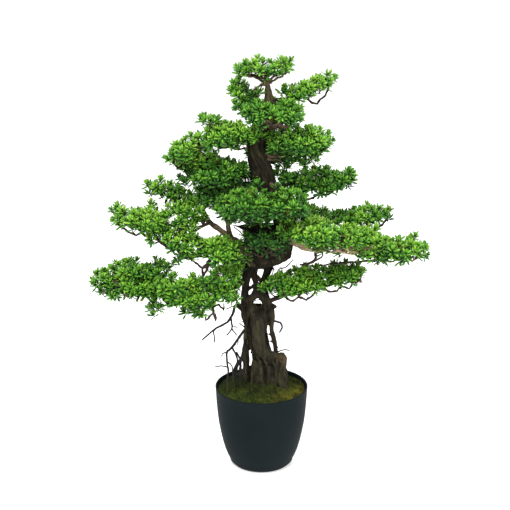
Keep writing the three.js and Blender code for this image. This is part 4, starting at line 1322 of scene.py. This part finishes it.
def seems_far(foot, spot):
    """How far a piece of wood seems from a foot: twigs start on near wood of a low order."""
    place, _, order = spot
    return (foot - place).length + ORDER_COST * order + HEIGHT_COST * abs(place.z - foot.z)


def grow_twigs(spray, feet, rng):
    """Paths of twigs, each from the nearest wood to a tuft's foot."""
    branch, parts = SPRAYS[spray]
    wood = []  # place, radius, and how many twigs lie between it and the limb
    for limb, start, end in parts:
        points = path(BRANCHES[branch][limb], 6)
        first = int(max(0.0, start - 0.12) * (len(points) - 1))
        wood += [(place, radius, 0) for place, radius in points[first : int(end * len(points))]]
    twigs = []
    ordered = sorted(feet, key=lambda f: min((f[0] - w[0]).length for w in wood))
    for foot, look, _ in ordered:
        place, radius, order = min(wood, key=lambda spot: seems_far(foot, spot))
        thick = min(1.7 - 0.3 * order, radius)
        stalk = foot - look * STALK
        low = place.lerp(stalk, 0.5)
        low.z = place.z + 0.25 * (stalk.z - place.z)
        low += jitter(rng, 2.2)
        bend = low.lerp(stalk, 0.55) + jitter(rng, 1.8)
        twig = [(place, thick), (low, thick * 1.05), (bend, thick * 0.8), (stalk, thick * 0.85), (foot, 0.7)]
        twigs.append(twig)
        wood += [(low, thick, order + 1), (bend, thick * 0.9, order + 1)]
    return twigs


crown_twigs = grow_twigs("crown", crown_feet, random.Random(1000))
print("twigs to them:", len(crown_twigs), "points:", sum(len(twig) for twig in crown_twigs))


# %% Make the leafy sprays
def leaves_mesh(feet, spray_painted_shade, rng):
    bm = bmesh.new()
    height_and_painted_light_layer = bm.verts.layers.float.new("level")
    for foot, look, level in feet:
        grow = rng.uniform(0.86, 1.12)
        place = Matrix.Translation(foot * MM) @ look.to_track_quat("Z", "Y").to_matrix().to_4x4()
        place = place @ Matrix.Rotation(rng.uniform(0, 6.28), 4, "Z") @ Matrix.Scale(grow, 4)
        # painted light from the tuft's height, less the spray's painted shade
        add_copy(bm, rng.choice(TUFTS), place, height_and_painted_light_layer, level - spray_painted_shade)
    return finished_mesh("leaves", bm)


twigs_of = {name: [] for name in BRANCHES}
total = 0
for number, spray in enumerate(SPRAYS):
    rng = random.Random(1000 + number)
    feet = throw_tufts(spray, rng)
    twigs_of[SPRAYS[spray][0]] += grow_twigs(spray, feet, rng)
    mesh = leaves_mesh(feet, SPRAY_PAINTED_SHADE.get(spray, 0), rng)
    piece("leaves_" + spray, mesh, LEAF_GREEN, "spray_" + spray)
    total += triangles_of(mesh)
    print(spray, len(feet), "tufts", triangles_of(mesh), "triangles")
print("all leaves:", total, "triangles")

# %% [markdown]
# ## Bare twigs
# Under the pads one sees bare, crooked twigs against the light: they hang from a limb and rise again
# into the leaves. The places of the plainest ones are given here.

# %% The plainest bare twigs, by x, y, z
BARE_TWIGS = {
    "crown": [
        [(11, -4, 887), (-4, -4, 896), (-17, -4, 904), (-28, -4, 902)],
        [(11, -4, 885), (26, -4, 896), (43, -4, 904), (51, -4, 917)],
        [(11, -6, 885), (-2, -6, 887), (-11, -6, 879), (-15, -6, 868)],
    ],
    "top_right": [
        [(60, -8, 868), (75, -8, 860), (94, -8, 858), (107, -8, 847), (117, -8, 845), (124, -8, 855),
         (136, -8, 864), (142, -8, 884)],
    ],
    "upper_front": [
        [(13, -62, 822), (23, -62, 811), (36, -62, 816), (50, -62, 807), (65, -62, 818)],
        [(2, -50, 824), (10, -50, 813), (20, -50, 809), (31, -50, 815), (43, -50, 810)],
        [(8, -44, 826), (18, -46, 818), (30, -48, 822), (42, -50, 815), (55, -50, 820)],
        [(14, -40, 815), (24, -42, 806), (36, -44, 808), (46, -44, 801), (58, -46, 806)],
        [(0, -40, 812), (-8, -42, 804), (-2, -44, 796), (8, -44, 800)],
    ],
    "upper_right": [
        [(65, -24, 750), (82, -24, 743), (105, -24, 737), (118, -24, 732), (127, -24, 743), (137, -24, 750),
         (146, -24, 763)],
    ],
    "upper_left": [
        [(-105, -24, 765), (-88, -24, 752), (-71, -24, 754), (-51, -24, 748), (-32, -24, 752)],
        [(-194, -14, 723), (-181, -14, 705), (-166, -14, 710)],
    ],
    "left_shelf": [[(-107, 0, 631), (-122, 0, 618), (-129, 0, 602), (-118, 0, 579)]],
    "right_shelf": [
        [(77, 58, 601), (97, 58, 612), (114, 58, 617), (130, 58, 629), (148, 58, 624), (161, 58, 635),
         (169, 58, 649), (185, 58, 652), (200, 58, 658)],
        [(148, 58, 624), (156, 58, 640), (152, 58, 654)],
    ],
    "left": [
        [(-313, -26, 582), (-294, -26, 566), (-275, -26, 557), (-262, -26, 562), (-249, -26, 550)],
        [(-221, -44, 545), (-200, -44, 531), (-178, -44, 535), (-161, -44, 524)],
        [(-214, 36, 612), (-197, 36, 598), (-177, 36, 603), (-159, 36, 593)],
    ],
    "left_low_shelf": [
        [(-128, -56, 470), (-130, -56, 491), (-143, -56, 503), (-158, -56, 514)],
        [(-130, -56, 489), (-117, -56, 498), (-100, -56, 503), (-82, -56, 510), (-63, -56, 503),
         (-50, -56, 514)],
    ],
    "right": [
        [(168, -66, 548), (183, -66, 541), (200, -66, 538), (218, -64, 532), (240, -60, 530)],
        [(176, -70, 543), (190, -70, 534), (206, -68, 531), (224, -64, 526), (246, -60, 528)],
        [(184, -62, 536), (198, -62, 543), (214, -62, 536), (232, -60, 534), (244, -58, 537)],
        [(58, -34, 553), (68, -46, 546), (83, -56, 542), (98, -60, 540), (113, -62, 535)],
        [(60, -40, 560), (72, -52, 553), (86, -60, 548), (100, -64, 545), (118, -66, 541), (134, -66, 538)],
        [(57, -30, 546), (66, -42, 541), (78, -52, 538), (92, -58, 534), (106, -60, 532)],
        [(66, -50, 562), (80, -62, 556), (94, -66, 552), (110, -70, 548), (126, -70, 546), (140, -70, 543)],
        [(62, -44, 556), (74, -50, 550), (84, -54, 545), (90, -62, 538), (104, -66, 537), (120, -64, 533)],
        [(59, -32, 549), (70, -46, 541), (86, -56, 537), (101, -60, 534), (112, -62, 531)],
        [(64, -40, 558), (78, -54, 548), (92, -62, 541), (108, -64, 534), (122, -64, 529)],
        [(118, -66, 541), (134, -66, 535), (150, -66, 531), (168, -64, 533), (184, -64, 527)],
        [(160, -66, 538), (176, -66, 530), (196, -64, 526), (214, -60, 529)],
        [(170, -48, 525), (196, -48, 532), (214, -48, 525), (231, -48, 534), (249, -48, 525),
         (270, -48, 534)],
        [(293, -46, 506), (310, -46, 513), (328, -46, 504), (345, -46, 515)],
    ],
    "back_right": [[(244, 84, 517), (257, 84, 534), (272, 84, 546), (283, 84, 560), (285, 84, 579)]],
    "low_front": [
        [(-51, -78, 544), (-36, -78, 528), (-19, -78, 533), (-4, -78, 524), (13, -78, 535), (26, -78, 528)],
    ],
    "low_right": [
        [(47, -34, 432), (56, -34, 411), (69, -34, 406), (82, -34, 416), (93, -34, 430)],
        [(82, -34, 416), (98, -34, 409), (111, -34, 418), (122, -34, 435)],
        [(131, -20, 437), (149, -20, 423), (167, -20, 425), (178, -20, 437), (194, -20, 430),
         (202, -20, 446), (220, -20, 448)],
        [(32, -20, 439), (41, -20, 418), (54, -20, 411)],
    ],
    "low_left": [
        [(-324, -44, 457), (-307, -44, 441), (-287, -44, 438), (-270, -44, 427), (-253, -44, 420),
         (-240, -44, 403)],
        [(-216, -66, 421), (-199, -66, 407), (-181, -66, 414), (-166, -66, 402)],
        [(-122, -66, 421), (-109, -66, 404), (-94, -66, 409), (-83, -66, 397)],
        [(-107, -62, 419), (-106, -62, 389), (-116, -62, 379), (-123, -62, 372)],
        [(-106, -62, 389), (-101, -62, 372)],
    ],
}
print("bare twigs:", sum(len(twigs) for twigs in BARE_TWIGS.values()))


# %% Crooked twigs
def crooked(stations, step):
    """Straight legs from station to station, as twigs have them, read off at even steps."""
    spots = [(Vector(station[:3]), station[3]) for station in stations]
    points = []
    for first, second in zip(spots, spots[1:]):
        count = max(1, round((second[0] - first[0]).length / step))
        points += [between_spots(first, second, k / count) for k in range(count)]
    return points + [spots[-1]]


def bare_twigs(name, rng):
    """Each twig starts on the nearest wood of its branch and is crooked at every bud."""
    wood = [spot for limb in BRANCHES[name] for spot in path(limb, 6)]
    made = []
    for places in BARE_TWIGS.get(name, []):
        first = Vector(places[0])
        start = min(wood, key=lambda spot: (spot[0] - first).length)[0]
        end = Vector(places[-1]) + Vector((0, 6, 14))
        middle = [(*spot, 2.8 - 0.9 * i / len(places)) for i, spot in enumerate(places)]
        stations = [(*start, 3.0), *middle, (*end, 1.2)]
        made.append(knotted(crooked(stations, 5), rng, wander=0.9, swell=0.25))
    return made


print("points of the bare twigs at the right:", [len(twig) for twig in bare_twigs("right", random.Random(1))])

# %% [markdown]
# ## Branches
# A branch is its limbs and all the twigs that grew to its tufts, in one mesh. The limbs bend and
# swell at their old buds. Some limbs are laid a few millimetres closer to the real ones than the
# solids' are, or behind the leaves, once the pads stand. Others are too fine for the solids.

# %% Limbs that are laid again, by branch and number, and finer limbs with their tones
RELAID_LIMBS = {
    ("left", 0): [
        [46, 2, 536, 9], [2, -2, 527, 8], [-40, 0, 528, 7], [-67, 2, 540, 7.2], [-83, 1, 553.5, 6.8],
        [-98, 0, 565, 6.4], [-112, 0, 576, 5.6], [-126, 0, 586, 4.8], [-166, -10, 580, 4],
        [-222, -24, 576, 3.2], [-266, -30, 586, 2.8], [-304, -30, 600, 2],
    ],
    ("left", 1): [
        [-66, 2, 538, 6.4], [-72, 3, 556, 5.6], [-75, 5, 570, 5], [-79, 12, 588, 4.4], [-84, 34, 612, 3.6],
        [-88, 54, 630, 3], [-120, 62, 634, 2],
    ],
    ("left", 3): [
        [-116, 0, 577, 4], [-140, -8, 566, 3.6], [-160, -26, 548, 3], [-176, -42, 532, 2.6],
        [-208, -42, 544, 2],
    ],
}
FINE_LIMBS = {
    "upper_front": [
        [[8, -10, 790, 7], [17, -16, 801, 6], [30, -22, 809, 5], [45, -28, 810, 4], [58, -30, 804, 2.5]],
        [[14, -12, 790, 5], [28, -20, 797, 4], [42, -26, 798, 3], [56, -30, 790, 2]],
    ],
    "right_shelf": [
        [[8, -14, 738, 4], [20, -22, 733, 3.6], [30, -26, 736, 3], [44, -24, 731, 2.2],
         [62, -20, 734, 1.6]],
        [[14, -14, 726, 4], [22, -20, 724, 3], [32, -24, 727, 2.4], [41, -24, 722, 1.6]],
        [[18, -14, 670, 4], [29, -20, 667, 3.6], [37, -22, 661, 3], [44, -22, 667, 1.8]],
    ],
    "left": [
        [[-112, 0, 577, 4.4], [-121, 6, 590, 3.6], [-129, 10, 606, 3], [-133, 10, 618, 2.2],
         [-133, 10, 629, 1.6]],
        [[-129, 10, 606, 2.4], [-122, 10, 618, 2], [-116, 10, 631, 1.4]],
        [[-61, -20, 574, 1.3], [-51, -20, 567, 1.4], [-41, -18, 553, 1.6], [-33, -14, 547, 1.8]],
    ],
    "right": [
        [[112, -61, 540, 3.2], [117, -60, 522, 3.2], [114, -60, 509, 3.4], [101, -57, 502, 2.8],
         [82, -54, 498, 1.8]],
        [[117, -60, 531, 2.2], [128, -60, 533, 1.8], [132, -60, 522, 1.8], [122, -60, 513, 2],
         [115, -60, 509, 2.4]],
        [[262, -34, 508, 2.6], [247, -30, 498, 2.4], [231, -26, 497, 2.4], [208, -22, 493, 2.3],
         [181, -20, 492, 2.2], [152, -20, 488, 1.9], [128, -20, 484, 1.4]],
    ],
}
FINE_TONES = {"upper_front": 0.8, "right_shelf": 0.6, "left": 0.85, "right": 0.3}
LIMB_TONES = {"left": 0.8, "crown": 0.8, "right": 0.9, "top_right": 0.45}
TWIG_TONES = {"right": 1.5, "crown": 0.8, "upper_front": 0.7}
fine_limbs = sum(len(limbs) for limbs in FINE_LIMBS.values())
print("limbs laid again:", len(RELAID_LIMBS), "finer limbs:", fine_limbs)

# %% Branches with their twigs
total = 0
for number, (name, limbs) in enumerate(BRANCHES.items()):
    rng = random.Random(300 + number)
    limbs = [RELAID_LIMBS.get((name, i), limb) for i, limb in enumerate(limbs)]
    thick = [knotted(path(limb, 9), rng, wander=1.1, swell=0.16) for limb in limbs]
    fine = [knotted(path(limb, 6), rng, wander=0.8, swell=0.16) for limb in FINE_LIMBS.get(name, [])]
    groups = [
        (thick, 2, LIMB_TONES.get(name, WOOD_TONE)),
        (fine, 2, FINE_TONES.get(name)),
        (bare_twigs(name, rng), 2, TWIG_TONES.get(name, WOOD_TONE)),
        (twigs_of[name], 0, WOOD_TONE),
    ]
    mesh = wood_mesh(name, groups, number * 17)
    piece("wood_" + name, mesh, BRANCH_BARK, "branch_" + name)
    total += triangles_of(mesh)
print("branches and twigs:", total, "triangles")

# %% [markdown]
# ## Planter
# The planter is turned: a profile that goes up the outside, over a rounded lip and down the inside
# is spun once round the upright axis. The last step of a full spin lands on the first, so use_merge
# joins them.

# %% Turn the planter
OUTSIDE = [
    (0, 0), (58, 0), (62.5, 0.6), (65.4, 1.8), (67.8, 4.2), (70.6, 9), (78.4, 24), (83.8, 38), (88.9, 56),
    (94, 80), (98, 102), (100.6, 124), (102.6, 148), (103.9, 170), (104.5, 184), (105, 186.6),
]
LIP = [(105, 188.9), (104.5, 189.8), (103.6, 190), (102.4, 189.8), (101.8, 189)]
INSIDE = [(101.4, 186), (100.6, 162), (99, 140), (94.8, 102), (86, 56), (76, 24), (72, 8), (60, 6), (0, 6)]


def spun(profile, steps):
    """A mesh turned round Z from (radius, height) pairs in millimetres."""
    bm = bmesh.new()
    verts = [bm.verts.new((radius * MM, 0, height * MM)) for radius, height in profile]
    edges = [bm.edges.new(pair) for pair in zip(verts, verts[1:])]
    bmesh.ops.spin(
        bm, geom=verts + edges, cent=(0, 0, 0), axis=(0, 0, 1), angle=2 * math.pi, steps=steps, use_merge=True
    )
    bmesh.ops.remove_doubles(bm, verts=bm.verts, dist=1e-6)
    turn_out_and_smooth(bm)
    return bm


planter_mesh = finished_mesh("planter", spun(OUTSIDE + LIP + INSIDE, 128))
piece("turned_planter", planter_mesh, PLANTER_PLASTIC, "pot")
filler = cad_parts["pot_fill"]
filler.data.materials.clear()
filler.data.materials.append(CAST_FILL)
print("planter:", len(planter_mesh.polygons), "faces")

# %% [markdown]
# ## Moss
# The bed is a turned disc whose points are lifted by noise into cushions. What makes it look like
# moss and not like dough is the fringe: thousands of tiny sprigs, each a cone with three sides.

# %% Moss bed with sprigs
MOSS_RADIUS = 100.4
MOSS_LEVEL = 179  # of the bed at the planter's wall, before noise lifts it
MOSS_UNDER = 164  # its underside
SPRIGS = 8000
SPRIG_REACH = 98.5  # how far from the middle sprigs stand


def moss_height(x, y):
    """A mound against the trunk that leans back, with cushions and smaller tussocks on it."""
    share = math.hypot(x, y) / 100
    wave = noise.noise(Vector((x, y, 0)) * 0.045) * 5 + noise.noise(Vector((x, y, 9)) * 0.12) * 2.8
    mound = 15 * (1 - share**3) + 12 * math.exp(-(math.hypot(x - 10, y + 16) / 44) ** 2)
    tussocks = noise.noise(Vector((x, y, 30)) * 0.4) * 1.1
    return MOSS_LEVEL + mound - 0.05 * min(y, 0) + wave * (1 - share**4) + tussocks


def moss_bed():
    rings = [MOSS_RADIUS * k / 40 for k in range(41)]
    bm = spun([(ring, MOSS_LEVEL) for ring in rings] + [(MOSS_RADIUS, MOSS_UNDER), (0, MOSS_UNDER)], 110)
    for vert in bm.verts:
        if vert.co.z > (MOSS_UNDER + MOSS_LEVEL) / 2 * MM:
            vert.co.z = moss_height(vert.co.x / MM, vert.co.y / MM) * MM
    return bm


def sprig_mesh():
    cone = bmesh.new()
    bmesh.ops.create_cone(
        cone, cap_ends=False, segments=3, radius1=0.75 * MM, radius2=0.1 * MM, depth=4.5 * MM
    )
    return finished_mesh("sprig", cone)


def moss_mesh():
    bm = moss_bed()
    tone_layer = bm.verts.layers.float.new("tone")
    rng = random.Random(77)
    sprig = sprig_mesh()
    for _ in range(SPRIGS):
        angle, radius = rng.uniform(0, 6.283), SPRIG_REACH * math.sqrt(rng.random())
        x, y = radius * math.cos(angle), radius * math.sin(angle)
        place = Matrix.Translation(Vector((x, y, moss_height(x, y) + 1.3)) * MM)
        tilt = Matrix.Rotation(rng.uniform(0, 0.9), 4, Vector((rng.uniform(-1, 1), rng.uniform(-1, 1), 0)))
        size = Matrix.Scale(rng.uniform(0.6, 1.4), 4)
        add_copy(bm, sprig, place @ tilt @ size, tone_layer, 0.3 + 0.7 * rng.random())
    bmesh.ops.recalc_face_normals(bm, faces=bm.faces)
    return finished_mesh("moss", bm)


tufted_moss = moss_mesh()
piece("tufted_moss", tufted_moss, MOSS_GREEN, "moss_bed")
print("moss:", len(tufted_moss.polygons), "faces")

# %% [markdown]
# ## Floor, light and camera
# The tree stands on a pale studio floor. A large soft light hangs over the viewer's shoulder, a
# weaker one fills the right side, and the world lifts the shadows. The camera looks down a little,
# so that the rim of the planter opens into the ellipse that the photograph shows.

# %% Floor
def pale_floor():
    finish = Finish("pale floor")
    cloud = finish.noise(2.0, 2)
    colour = finish.ramp(cloud, (0.0, (0.93, 0.93, 0.93)), (1.0, (0.96, 0.96, 0.96)))
    white = (1, 1, 1, 1)
    return finish.surface(colour, 0.6 + cloud * 0.1, Emission_Color=white, Emission_Strength=0.42)


floor_bm = bmesh.new()
bmesh.ops.create_grid(floor_bm, x_segments=4, y_segments=4, size=60)
floor = bpy.data.objects.new("floor", finished_mesh("floor", floor_bm))
bpy.context.scene.collection.objects.link(floor)
floor.data.materials.append(pale_floor())
print("floor:", [round(side) for side in floor.dimensions[:2]], "metres")


# %% Light
def softbox(name, place, size, power):
    """A round soft light that looks at the middle of the tree."""
    lamp = bpy.data.lights.new(name, "AREA")
    lamp.shape = "DISK"
    lamp.size = size
    lamp.energy = power
    holder = bpy.data.objects.new(name, lamp)
    holder.location = place
    holder.rotation_euler = (Vector((0, 0, 0.5)) - Vector(place)).to_track_quat("-Z", "Y").to_euler()
    bpy.context.scene.collection.objects.link(holder)
    print(name, power, "watts")


softbox("key light", (-0.95, -2.45, 3.4), 1.6, 105)
softbox("fill light", (2.4, -1.6, 1.6), 1.6, 28)
softbox("back light", (0.6, 2.6, 2.6), 1.8, 40)
world = bpy.data.worlds.new("studio")
world.use_nodes = True
world.node_tree.nodes["Background"].inputs["Color"].default_value = (1, 1, 1, 1)
world.node_tree.nodes["Background"].inputs["Strength"].default_value = 0.72
bpy.context.scene.world = world
bpy.context.scene.view_settings.view_transform = "Standard"

# %% Camera
SENSOR = 36  # in millimetres
lens = bpy.data.cameras.new("camera")
lens.sensor_width = SENSOR
lens.lens = FOCAL / PHOTO * SENSOR
lens.clip_end = 100
camera = bpy.data.objects.new("camera", lens)
camera.location = EYE * MM
camera.rotation_euler = (math.pi / 2 - TILT, 0, 0)
bpy.context.scene.collection.objects.link(camera)
bpy.context.scene.camera = camera
print("lens:", round(lens.lens, 1), "mm")
